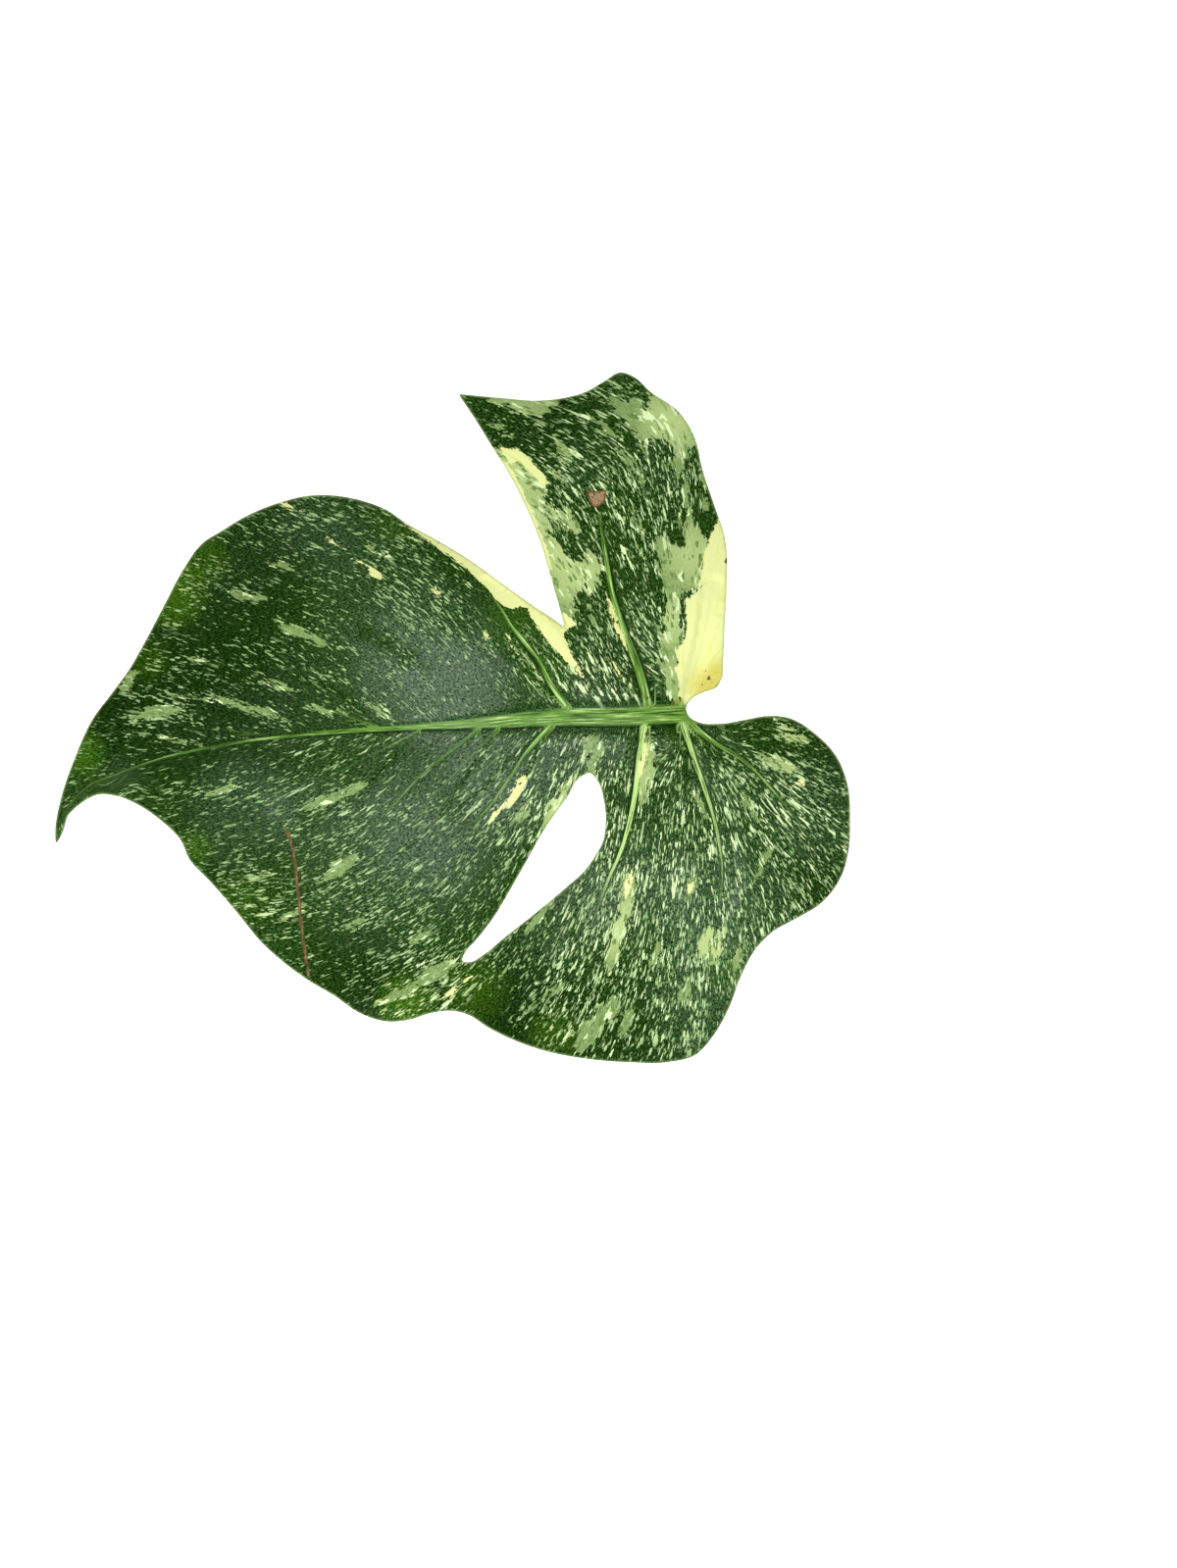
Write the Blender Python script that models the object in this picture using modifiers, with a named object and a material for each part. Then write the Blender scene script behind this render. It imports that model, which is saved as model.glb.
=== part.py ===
"""A monstera leaf, picked with its stalk and laid face up.

It is two pieces. The blade is one thin sheet, with a midrib and side ribs that swell on its underside.
The stalk is a round stem that leaves the blade at the head of the midrib, bends under it and lies along
the surface to its cut end. Lengths are in millimetres until they reach Blender, which takes metres.
+X runs from the drip tip towards the stalk, +Y across the leaf, and +Z up from the surface it lies on.
"""
import bmesh
import bpy
import numpy as np
from mathutils.geometry import delaunay_2d_cdt

NAME = "monstera_leaf"
MM = 0.001

# The blade's sheet, and the mesh it is made of: points along its edges, rows of points along its ribs, and
# a triangular grid that keeps a share of its own step away from both.
BLADE_THICKNESS = 0.8
EDGE_STEP = 5.0
GRID_STEP = 6.5
GRID_TO_EDGE_SHARE = 0.55
GRID_TO_ROW_SHARE = 0.6
ROW_TO_EDGE = 1.5
ROW_GAP = 1.3
ROWS_IN_HALF_WIDTHS = (0.0, 0.7, -0.7, 1.1, -1.1)
SAME_POINT = 1e-6

# The margin, in four smooth runs that meet at the leaf's sharp corners.
DRIP_TIP = (-146, -46.5)
FOLDED_CORNER = (99, 15)
LOBE_POINT = (2.5, 119)
NOTCH = (42, 32)
LOWER_MARGIN = [
    DRIP_TIP, (-143.5, -41.5), (-141.5, -35.5), (-139, -33), (-135, -30), (-130.5, -28), (-123.5, -28.5),
    (-115, -32), (-106.5, -38), (-100, -44.5), (-96.5, -52), (-89, -60), (-79, -71.5), (-70, -82.5),
    (-61, -90.5), (-53.5, -96), (-43.5, -102), (-34, -108.5), (-24.5, -111.5), (-16.5, -111),
    (-8.5, -108.5), (-0.5, -107.5), (6, -109), (13, -113.5), (22, -118), (31.5, -121.5), (51.5, -125.5),
    (64.5, -126.5), (79, -126.5), (89, -124), (96, -116.5), (101.5, -106.5), (106, -94.5), (111.5, -84.5),
    (117.5, -78.5), (126.5, -73.5), (135.5, -68), (142.5, -59), (145.5, -49), (146, -38), (145, -24.5),
    (141, -14.5), (133, -6), (124, -0.5), (116.5, 0.5), (107.5, -1), (98, -2.5), (90.5, -2), (86.5, 0.5),
    (85.5, 3.5), (87.5, 7), (92, 9.5), (97, 11.5), FOLDED_CORNER,
]
LOBE_OUTER_MARGIN = [
    FOLDED_CORNER, (99.5, 29.5), (100.5, 51), (100.5, 61), (99.5, 67.5), (96.5, 76.5), (92, 90), (88, 105),
    (83, 112.5), (72.5, 120), (66.5, 125.5), (62, 127), (55.5, 123.5), (49.5, 120), (41, 117.5), (32, 116.5),
    (17.5, 117.5), LOBE_POINT,
]
LOBE_INNER_MARGIN = [
    LOBE_POINT, (8.5, 110), (14, 101), (20.5, 90.5), (26.5, 79), (32, 66), (36, 53), (39.5, 41), NOTCH,
]
UPPER_MARGIN = [
    NOTCH, (37.5, 35.5), (30, 40.5), (17.5, 49.5), (5, 58.5), (-7.5, 66), (-17.5, 71.5), (-24, 76),
    (-33, 79.5), (-43.5, 81.5), (-52.5, 81.5), (-63.5, 79), (-76, 74), (-86, 68), (-91, 65), (-99, 54.5),
    (-105, 43), (-113, 27.5), (-119, 17), (-124.5, 9.5), (-132, -0.5), (-139, -15.5), (-144, -30),
    (-146, -40.5), DRIP_TIP,
]
WINDOW = [
    (50.5, -20), (47, -21.5), (42, -29), (35.5, -38), (24.5, -57), (14, -74.5), (8.5, -81.5), (4.5, -86),
    (3.5, -89.5), (6, -90), (12.5, -86.5), (18.5, -81.5), (30.5, -72), (43, -61.5), (48.5, -56.5),
    (52.5, -51), (55.5, -45.5), (56.5, -39), (56, -31), (53.5, -23),
]

# Places on the blade's upper face and their heights. A height under the blade's thickness is where the
# leaf lies on the surface, and the face is flattened there.
HEIGHTS = [
    # Along the midrib, from the stalk to the drip tip.
    (85, 1, 32), (64, 0, 33.5), (36, 0, 34.5), (10, -2, 35), (-22, -4, 33.5), (-55, -6, 30),
    (-84, -10, 25), (-105, -14, 19), (-123, -20, 11.5), (-134, -25, 6), (-143, -36, 0), (-146, -46, -1.5),
    # The upper half of the great lobe.
    (10, 30, 37), (-30, 30, 35.5), (-70, 25, 29), (-60, 55, 23), (-20, 55, 28), (42, 32, 32.5),
    (17, 49, 28), (-7, 66, 21), (-24, 76, 15), (-48, 81, 9), (-76, 74, 1), (-91, 65, -4.5), (-105, 43, 4),
    (-119, 17, 12), (-132, 0, 9), (-139, -15, 5),
    # The lower half of the great lobe, round to the window.
    (10, -28, 35), (-30, -35, 31), (-60, -40, 24), (-90, -35, 15), (-115, -32, 9), (-100, -44, 7),
    (-89, -60, 6), (-70, -82, 6), (-54, -96, 3), (-24, -111, -5), (-8, -108, 3), (6, -109, 9),
    (-10, -60, 29), (-30, -80, 17), (5, -89, 20), (33, -42, 31), (50, -21, 34), (56, -38, 32), (31, -71, 25),
    # The near lobe on the lower side.
    (31, -121, 7), (64, -126, 0), (80, -126, -4), (89, -123, -4), (101, -106, 5), (111, -85, 13),
    (125, -74, 7), (142, -59, -5), (146, -38, 3), (145, -24, 8), (133, -6, 17), (116, 0, 25),
    (98, -2, 30), (72, -30, 33.5), (75, -70, 25), (60, -95, 17), (100, -50, 25), (120, -40, 20),
    (88, -100, 10),
    # The lobe on the upper side.
    (99, 15, 24), (99.5, 30, 27), (100.5, 61, 20), (96, 77, 15), (88, 105, 5), (72, 120, 1),
    (62, 126, -4.5), (49, 120, 2), (32, 116, 6), (17, 117, 4), (2.5, 119, -3), (14, 101, 9),
    (26, 79, 18), (36, 53, 27), (64, 38, 32), (60, 60, 27), (56, 85, 18), (80, 60, 24), (78, 90, 13),
    (40, 100, 12),
]

# Places near the margin where the blade's own weight presses it against the surface: how far around each
# the blade gives way, and how much.
RESTS = [(82, -120), (-25, -106), (-87, 61), (138, -55), (63, 121), (5, 116)]
REST_RADIUS = 17.0
REST_DROP = 9.0

# Ribs: the line that each follows from its thick end, and its half width and depth there.
MIDRIB = [
    (85.5, 1.5), (64.5, 0.5), (35.5, 0), (10.5, -2), (-22, -4), (-55, -6), (-84, -10), (-105, -14.5),
    (-123, -20.5), (-133.5, -25), (-139, -30),
]
MIDRIB_HALF_WIDTH = 4.0
MIDRIB_DEPTH = 5.0
SIDE_RIBS = [
    [(71.5, 3), (65, 22.5), (60, 38), (57, 53), (56.5, 63.5), (54, 76)],
    [(42, 1), (30, 18.5), (23, 30.5), (17.5, 44)],
    [(10, 0), (-4, 16), (-16, 34), (-25, 54)],
    [(84, 4), (91, 24), (96, 48)],
    [(70, -3), (68.5, -15), (67.5, -26.5), (62.5, -47), (57, -60), (50, -80)],
    [(83.5, -2), (90.5, -20), (97.5, -44), (99, -62)],
    [(86.5, -2.5), (106.5, -15.5), (123, -33), (133, -46)],
    [(36, -2), (27.5, -12.5), (21.5, -21.5), (12.5, -34), (-4, -50)],
    [(10.5, -4), (-11, -21), (-29, -39), (-47, -52)],
]
SIDE_RIB_HALF_WIDTH = 2.4
SIDE_RIB_DEPTH = 1.8
RIB_TIP_SHARE = 0.15
RIB_STEP = 5.0

# The stalk: its route from under the midrib's head to the cut end, and its radius along the way.
STALK_ROUTE = [
    (80, 1.2, 25.2), (79.6, 1.2, 19), (76.5, 1.1, 11.5), (69.5, 0.8, 6.2), (58, 0.3, 4.1),
    (40, -1, 3.5), (15, -3.5, 3.4), (-14, -5, 3.4),
]
STALK_RADII = [3.6, 3.75, 3.7, 3.45, 3.25, 3.2, 3.2, 3.25]
STALK_STEP = 5.0
STALK_BEVEL_RESOLUTION = 3

BLADE_GREEN = (0.05, 0.13, 0.05)
STALK_GREEN = (0.13, 0.28, 0.07)


def smooth_curve(points, step, closed=False):
    """Points about one step apart on a curve through the given points.

    Each stretch is a cubic. Its direction at a point is the mean of the two chords that meet there, and
    the shorter chord counts for more, so the curve neither loops nor overshoots.
    """
    knots = np.array(points, float)
    if closed:
        knots = np.vstack([knots[-1], knots, knots[0], knots[1]])
    chord = np.linalg.norm(np.diff(knots, axis=0), axis=1)
    along = np.concatenate([[0.0], np.cumsum(chord)])
    secant = np.diff(knots, axis=0) / chord[:, None]
    weight = (chord[:-1] / (chord[:-1] + chord[1:]))[:, None]
    middle = secant[:-1] * (1 - weight) + secant[1:] * weight
    slope = np.vstack([secant[0], middle, secant[-1]])
    first, last = (along[1], along[-2]) if closed else (along[0], along[-1])
    count = max(2, round((last - first) / step) + 1)
    at = np.linspace(first, last, count)
    k = np.clip(np.searchsorted(along, at, side="right") - 1, 0, len(chord) - 1)
    t = ((at - along[k]) / chord[k])[:, None]
    span = chord[k][:, None]
    start = (1 + 2 * t) * (1 - t) ** 2 * knots[k] + t * (1 - t) ** 2 * span * slope[k]
    end = t * t * (3 - 2 * t) * knots[k + 1] - t * t * (1 - t) * span * slope[k + 1]
    curve = start + end
    return curve[:-1] if closed else curve


def margin_loop():
    """The blade's outer margin as one closed loop of points."""
    runs = [LOWER_MARGIN, LOBE_OUTER_MARGIN, LOBE_INNER_MARGIN, UPPER_MARGIN]
    return np.vstack([smooth_curve(run, EDGE_STEP)[:-1] for run in runs])


def is_inside(points, loop):
    """Whether each point is inside a loop: a line to its right crosses the loop an odd number of times."""
    x, y = points[:, :1], points[:, 1:]
    x0, y0 = loop[:, 0], loop[:, 1]
    x1, y1 = np.roll(x0, -1), np.roll(y0, -1)
    straddles = (y0 > y) != (y1 > y)
    rise = np.where(y1 == y0, 1.0, y1 - y0)
    crossing = x0 + (y - y0) * (x1 - x0) / rise
    return np.sum(straddles & (crossing > x), axis=1) % 2 == 1


def nearest(points, targets):
    """The distance from each point to its nearest target, and which target that is."""
    apart = np.linalg.norm(points[:, None, :] - targets[None, :, :], axis=2)
    return apart.min(axis=1), apart.argmin(axis=1)


def bend_height(squared):
    """A thin plate's height at a squared distance from a place that lifts it: r squared times log r."""
    return 0.5 * squared * np.log(np.maximum(squared, 1e-9))


def blade_heights(points):
    """The upper face's height over each point: a thin plate bent through HEIGHTS and flat where it lies."""
    posts = np.array(HEIGHTS, float)
    count = len(posts)
    apart = np.sum((posts[:, None, :2] - posts[None, :, :2]) ** 2, axis=2)
    plane = np.column_stack([np.ones(count), posts[:, :2]])
    system = np.zeros((count + 3, count + 3))
    system[:count, :count] = bend_height(apart)
    system[:count, count:] = plane
    system[count:, :count] = plane.T
    pull = np.linalg.solve(system, np.concatenate([posts[:, 2], np.zeros(3)]))
    apart = np.sum((points[:, None, :] - posts[None, :, :2]) ** 2, axis=2)
    height = bend_height(apart) @ pull[:count] + pull[count] + points @ pull[count + 1:]
    away = nearest(points, np.array(RESTS, float))[0] / REST_RADIUS
    height -= REST_DROP * np.clip(1 - away ** 2, 0.0, None) ** 2
    return np.maximum(height, BLADE_THICKNESS)


def ribs():
    """Each rib's line as points, with its half width and its depth at each point."""
    described = [(MIDRIB, MIDRIB_HALF_WIDTH, MIDRIB_DEPTH)]
    described += [(line, SIDE_RIB_HALF_WIDTH, SIDE_RIB_DEPTH) for line in SIDE_RIBS]
    for line, half_width, depth in described:
        points = smooth_curve(line, RIB_STEP)
        taper = np.linspace(1.0, RIB_TIP_SHARE, len(points))
        yield points, half_width * taper, depth * taper


def rib_depth(points):
    """How far the ribs swell below the sheet at each point: a round back across each rib."""
    depth = np.zeros(len(points))
    for line, half_width, rib in ribs():
        apart, k = nearest(points, line)
        across = np.clip(apart / half_width[k], 0.0, 1.0)
        depth = np.maximum(depth, rib[k] * np.sqrt(1 - across ** 2))
    return depth


def rib_rows():
    """Rows of points along each rib: its crest, its two shoulders and its two edges."""
    rows = []
    for line, half_width, _ in ribs():
        heading = np.gradient(line, axis=0)
        heading /= np.linalg.norm(heading, axis=1)[:, None]
        sideways = np.column_stack([-heading[:, 1], heading[:, 0]])
        for share in ROWS_IN_HALF_WIDTHS:
            rows.append(line + sideways * (share * half_width)[:, None])
    return np.vstack(rows)


def thinned(points, gap):
    """The points, each dropped if it is closer than the gap to one kept before it."""
    kept = []
    for point in points:
        if all((point[0] - other[0]) ** 2 + (point[1] - other[1]) ** 2 > gap ** 2 for other in kept):
            kept.append(point)
    return np.array(kept)


def filling(loop, window):
    """Points inside the blade: rows along the ribs, and a triangular grid between them."""
    low, high = loop.min(axis=0), loop.max(axis=0)
    row_step = GRID_STEP * np.sqrt(0.75)
    xs = np.arange(low[0], high[0], GRID_STEP)
    ys = np.arange(low[1], high[1], row_step)
    grid_x, grid_y = np.meshgrid(xs, ys)
    grid_x[1::2] += GRID_STEP / 2
    grid = np.column_stack([grid_x.ravel(), grid_y.ravel()])
    edges = np.vstack([loop, window])
    rows = rib_rows()
    rows = rows[is_inside(rows, loop) & ~is_inside(rows, window)]
    rows = thinned(rows[nearest(rows, edges)[0] > ROW_TO_EDGE], ROW_GAP)
    grid = grid[is_inside(grid, loop) & ~is_inside(grid, window)]
    grid = grid[nearest(grid, edges)[0] > GRID_STEP * GRID_TO_EDGE_SHARE]
    grid = grid[nearest(grid, rows)[0] > GRID_STEP * GRID_TO_ROW_SHARE]
    return np.vstack([rows, grid])


def closed_edges(first, count):
    """The edges of a closed loop of vertices that starts at a given number."""
    return [(first + k, first + (k + 1) % count) for k in range(count)]


def principled(name, colour, roughness):
    """A plain material with one colour."""
    material = bpy.data.materials.new(name)
    material.use_nodes = True
    shader = material.node_tree.nodes["Principled BSDF"]
    shader.inputs["Base Color"].default_value = (*colour, 1.0)
    shader.inputs["Roughness"].default_value = roughness
    shader.inputs["Metallic"].default_value = 0.0
    return material


def make_blade(collection):
    """The blade: its upper face as an open sheet, thickened downwards, and more so along the ribs."""
    loop = margin_loop()
    window = smooth_curve(WINDOW, EDGE_STEP, closed=True)
    flat = np.vstack([loop, window, filling(loop, window)])
    edges = closed_edges(0, len(loop)) + closed_edges(len(loop), len(window))
    net = delaunay_2d_cdt([tuple(p) for p in flat], edges, [], 0, SAME_POINT)
    places = np.array([tuple(p) for p in net[0]])
    triangles = np.array([tuple(f) for f in net[2]])
    centres = places[triangles].mean(axis=1)
    triangles = triangles[is_inside(centres, loop) & ~is_inside(centres, window)]
    heights = blade_heights(places)
    mesh = bpy.data.meshes.new("leaf_blade")
    mesh.from_pydata(np.column_stack([places, heights]) * MM, [], triangles.tolist())
    sheet = bmesh.new()
    sheet.from_mesh(mesh)
    bmesh.ops.delete(sheet, geom=[v for v in sheet.verts if not v.link_faces], context="VERTS")
    for face in sheet.faces:
        if face.normal.z < 0:
            face.normal_flip()
    sheet.to_mesh(mesh)
    sheet.free()
    mesh.shade_smooth()
    blade = bpy.data.objects.new("leaf_blade", mesh)
    collection.objects.link(blade)
    mesh.materials.append(principled("leaf_green", BLADE_GREEN, 0.4))
    swelling = blade.vertex_groups.new(name="ribs")
    spots = np.array([(v.co.x, v.co.y) for v in mesh.vertices]) / MM
    for index, depth in enumerate(rib_depth(spots)):
        swelling.add([index], float(depth / MIDRIB_DEPTH), "REPLACE")
    solidify = blade.modifiers.new("sheet", "SOLIDIFY")
    solidify.thickness = (BLADE_THICKNESS + MIDRIB_DEPTH) * MM
    solidify.offset = -1.0
    solidify.vertex_group = swelling.name
    solidify.thickness_vertex_group = BLADE_THICKNESS / (BLADE_THICKNESS + MIDRIB_DEPTH)
    return blade


def make_stalk(collection):
    """The stalk: a round tube along its route, with a cut face at each end."""
    route = smooth_curve(STALK_ROUTE, STALK_STEP)
    share = np.linspace(0, 1, len(route))
    radii = np.interp(share, np.linspace(0, 1, len(STALK_RADII)), STALK_RADII)
    curve = bpy.data.curves.new("petiole", "CURVE")
    curve.dimensions = "3D"
    curve.bevel_depth = MM
    curve.bevel_resolution = STALK_BEVEL_RESOLUTION
    curve.use_fill_caps = True
    spline = curve.splines.new("POLY")
    spline.points.add(len(route) - 1)
    for point, place, radius in zip(spline.points, route * MM, radii):
        point.co = (*place, 1.0)
        point.radius = radius
    stalk = bpy.data.objects.new("petiole", curve)
    collection.objects.link(stalk)
    curve.materials.append(principled("stalk_green", STALK_GREEN, 0.45))
    return stalk


def main():
    for old in list(bpy.data.objects):
        bpy.data.objects.remove(old)
    collection = bpy.data.collections.new(NAME)
    bpy.context.scene.collection.children.link(collection)
    make_blade(collection)
    make_stalk(collection)


main()
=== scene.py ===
"""Monstera leaf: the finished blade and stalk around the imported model, and a plain studio.

The blade is a square grid cut to the leaf's margin and lifted by a height that is worked out for every
node at once. Its markings are fields on the same nodes, such as how deep inside a cream sector a node is,
and the material turns them into torn, streaky edges. Lengths in the tables are in millimetres in the
leaf's own frame: +X from the drip tip towards the stalk, +Y across the leaf, +Z up from the surface.
"""

import math

import bpy
import numpy as np
from bpy.props import FloatProperty, FloatVectorProperty, PointerProperty
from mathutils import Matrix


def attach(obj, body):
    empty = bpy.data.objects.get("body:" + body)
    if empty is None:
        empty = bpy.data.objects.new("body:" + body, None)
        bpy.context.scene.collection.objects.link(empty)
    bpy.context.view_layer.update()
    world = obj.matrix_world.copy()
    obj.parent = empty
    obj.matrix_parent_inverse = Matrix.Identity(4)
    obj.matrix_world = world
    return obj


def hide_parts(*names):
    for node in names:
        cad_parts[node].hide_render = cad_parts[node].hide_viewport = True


bl_info = {
    "name": "Monstera Leaf",
    "version": (1, 0, 0),
    "blender": (4, 5, 0),
    "location": "View3D > Sidebar > Monstera",
    "description": "Builds a variegated monstera leaf with its stalk, and a plain studio around it",
    "category": "Add Mesh",
}

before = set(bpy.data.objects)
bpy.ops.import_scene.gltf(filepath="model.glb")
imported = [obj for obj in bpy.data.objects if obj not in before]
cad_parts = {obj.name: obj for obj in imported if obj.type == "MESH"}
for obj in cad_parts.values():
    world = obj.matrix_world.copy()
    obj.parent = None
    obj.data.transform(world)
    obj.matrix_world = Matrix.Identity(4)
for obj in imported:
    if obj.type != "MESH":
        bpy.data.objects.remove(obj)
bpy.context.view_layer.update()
MM = 0.001

# The margin, in four smooth runs that meet at the leaf's sharp corners, and the window's edge.
DRIP_TIP = (-146, -46.5)
FOLDED_CORNER = (99, 15)
LOBE_POINT = (2.5, 119)
NOTCH = (42, 32)
LOWER_MARGIN = [
    DRIP_TIP, (-143.5, -41.5), (-141.5, -35.5), (-139, -33), (-135, -30), (-130.5, -28), (-123.5, -28.5),
    (-115, -32), (-106.5, -38), (-100, -44.5), (-96.5, -52), (-89, -60), (-79, -71.5), (-70, -82.5),
    (-61, -90.5), (-53.5, -96), (-43.5, -102), (-34, -108.5), (-24.5, -111.5), (-16.5, -111),
    (-8.5, -108.5), (-0.5, -107.5), (6, -109), (13, -113.5), (22, -118), (31.5, -121.5), (51.5, -125.5),
    (64.5, -126.5), (79, -126.5), (89, -124), (96, -116.5), (101.5, -106.5), (106, -94.5), (111.5, -84.5),
    (117.5, -78.5), (126.5, -73.5), (135.5, -68), (142.5, -59), (145.5, -49), (146, -38), (145, -24.5),
    (141, -14.5), (133, -6), (124, -0.5), (116.5, 0.5), (107.5, -1), (98, -2.5), (90.5, -2), (86.5, 0.5),
    (85.5, 3.5), (87.5, 7), (92, 9.5), (97, 11.5), FOLDED_CORNER,
]
LOBE_OUTER_MARGIN = [
    FOLDED_CORNER, (99.5, 29.5), (100.5, 51), (100.5, 61), (99.5, 67.5), (96.5, 76.5), (92, 90), (88, 105),
    (83, 112.5), (72.5, 120), (66.5, 125.5), (62, 127), (55.5, 123.5), (49.5, 120), (41, 117.5), (32, 116.5),
    (17.5, 117.5), LOBE_POINT,
]
LOBE_INNER_MARGIN = [
    LOBE_POINT, (8.5, 110), (14, 101), (20.5, 90.5), (26.5, 79), (32, 66), (36, 53), (39.5, 41), NOTCH,
]
UPPER_MARGIN = [
    NOTCH, (37.5, 35.5), (30, 40.5), (17.5, 49.5), (5, 58.5), (-7.5, 66), (-17.5, 71.5), (-24, 76),
    (-33, 79.5), (-43.5, 81.5), (-52.5, 81.5), (-63.5, 79), (-76, 74), (-86, 68), (-91, 65), (-99, 54.5),
    (-105, 43), (-113, 27.5), (-119, 17), (-124.5, 9.5), (-132, -0.5), (-139, -15.5), (-144, -30),
    (-146, -40.5), DRIP_TIP,
]
WINDOW = [
    (50.5, -20), (47, -21.5), (42, -29), (35.5, -38), (24.5, -57), (14, -74.5), (8.5, -81.5), (4.5, -86),
    (3.5, -89.5), (6, -90), (12.5, -86.5), (18.5, -81.5), (30.5, -72), (43, -61.5), (48.5, -56.5),
    (52.5, -51), (55.5, -45.5), (56.5, -39), (56, -31), (53.5, -23),
]
MARGIN_SAMPLE = 0.25
EDGE_SAMPLE = 1.0

# Places on the blade's upper face and their heights; where they are near 0 or below, it rests.
HEIGHTS = [
    (85, 1, 32), (64, 0, 33.5), (36, 0, 34.5), (10, -2, 35), (-22, -4, 33.5), (-55, -6, 30),
    (-84, -10, 25), (-105, -14, 19), (-123, -20, 11.5), (-134, -25, 6), (-143, -36, 0), (-146, -46, -1.5),
    (10, 30, 37), (-30, 30, 35.5), (-70, 25, 29), (-60, 55, 23), (-20, 55, 28), (42, 32, 32.5),
    (17, 49, 28), (-7, 66, 21), (-24, 76, 15), (-48, 81, 9), (-76, 74, 1), (-91, 65, -4.5), (-105, 43, 4),
    (-119, 17, 12), (-132, 0, 9), (-139, -15, 5),
    (10, -28, 35), (-30, -35, 31), (-60, -40, 24), (-90, -35, 15), (-115, -32, 9), (-100, -44, 7),
    (-89, -60, 6), (-70, -82, 6), (-54, -96, 3), (-24, -111, -5), (-8, -108, 3), (6, -109, 9),
    (-10, -60, 29), (-30, -80, 17), (5, -89, 20), (33, -42, 31), (50, -21, 34), (56, -38, 32), (31, -71, 25),
    (31, -121, 7), (64, -126, 0), (80, -126, -4), (89, -123, -4), (101, -106, 5), (111, -85, 13),
    (125, -74, 7), (142, -59, -5), (146, -38, 3), (145, -24, 8), (133, -6, 17), (116, 0, 25),
    (98, -2, 30), (72, -30, 33.5), (75, -70, 25), (60, -95, 17), (100, -50, 25), (120, -40, 20),
    (88, -100, 10),
    (99, 15, 24), (99.5, 30, 27), (100.5, 61, 20), (96, 77, 15), (88, 105, 5), (72, 120, 1),
    (62, 126, -4.5), (49, 120, 2), (32, 116, 6), (17, 117, 4), (2.5, 119, -3), (14, 101, 9),
    (26, 79, 18), (36, 53, 27), (64, 38, 32), (60, 60, 27), (56, 85, 18), (80, 60, 24), (78, 90, 13),
    (40, 100, 12),
]

# The midrib and the side ribs from their thick ends: each point is a place and the half width there. Each
# side rib starts with the side on which its groove's shadow is painted dark, where 1 is the left one for
# someone walking out along it, and with how pale it is, from 0 to 1.
MIDRIB = [
    (86, 1.5, 3.7), (64.5, 0.5, 3.4), (35.5, 0, 3.1), (10.5, -2, 1.9), (-11, -3.3, 1.15), (-44, -5.3, 0.7),
    (-84, -10, 0.5), (-105, -14.5, 0.45), (-123, -20.5, 0.4), (-133.5, -25, 0.35), (-140, -31, 0.3),
    (-144, -38, 0.25),
]
SIDE_RIBS = [
    (-1, 0.25, [(72, 1, 3.0), (71.4, 6, 1.9), (69.5, 14, 1.45), (66.6, 22.5, 1.3), (62.9, 32, 1.15),
                (60.6, 38.7, 1.05), (58, 49, 0.9), (56.2, 60, 0.75), (54.3, 73, 0.5)]),
    (1, 0.35, [(44, 0.5, 1.6), (42.1, 4.5, 1.15), (39.3, 7.8, 1.0), (35.5, 13.3, 0.9),
               (31.1, 21.6, 0.8), (26.1, 28.2, 0.7), (21.2, 34.3, 0.6), (17.9, 39.8, 0.45),
               (13.5, 45.5, 0.25)]),
    (-1, 0.5, [(84, 4, 0.8), (91, 24, 0.5), (96, 48, 0.3)]),
    (-1, 0.75, [(70.3, -3, 1.5), (69.5, -8, 1.15), (68.5, -15, 1.0), (67, -28, 0.9), (62.5, -47, 0.7),
                (57, -60, 0.5), (51, -76, 0.3)]),
    (1, 0.6, [(84, 0, 2.4), (85, -4, 1.4), (87, -10, 1.0), (90.5, -20, 0.8), (97.5, -44, 0.55),
              (99, -58, 0.4), (98, -68, 0.3)]),
    (1, 0.3, [(86, -1, 1.6), (90, -4.5, 1.0), (96, -9, 0.75), (106.5, -15.5, 0.55), (117, -26, 0.45),
              (123, -33, 0.4), (133, -46, 0.25)]),
    (-1, 0.2, [(38, -1, 1.5), (34.5, -4.5, 0.95), (27.5, -12.5, 0.7), (21.5, -21.5, 0.55),
               (12.5, -34, 0.45), (-3, -47, 0.3)]),
    (-1, 0.1, [(10.5, -3.5, 0.6), (-11, -21, 0.45), (-29, -39, 0.35), (-47, -50, 0.25)]),
    (1, 0.1, [(-25, -4, 0.5), (-38, 0.5, 0.4), (-58, 7, 0.25)]),
    (-1, 0.1, [(18, -3, 0.5), (8, -13, 0.4), (-6, -28, 0.3), (-20, -42, 0.2)]),
    (-1, 0.1, [(-12, -5, 0.4), (-34, -16, 0.35), (-58, -29, 0.25)]),
    (1, 0.1, [(-62, -7, 0.35), (-80, -5, 0.3), (-100, -3, 0.2)]),
]

# The side of the midrib's painted shadow and its paleness, the half widths over which side ribs take over
# at its edge, and its length. RIBS_APART sets the ribs' lengths apart, so that no two have the same lines.
MIDRIB_SHADOW_SIDE = 1
MIDRIB_PALENESS = 0.15
MIDRIB_EDGE = (0.5, 1.2)
MIDRIB_LENGTH = 236.0
RIB_SAMPLE = 0.5
RIBS_APART = 300.0

# The faces near a rib, in shares of its half width: the groove and the crown inside it, the shoulders
# beside it and where they are, and how deep and wide it swells below the blade.
GROOVE_SHARE = 0.5
CROWN_SHARE = 0.32
SHOULDER_SHARE = 0.28
SHOULDER_PLACE = 2.4
SWELLING_SHARE = 1.3
SWELLING_WIDTH = 1.15

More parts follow.
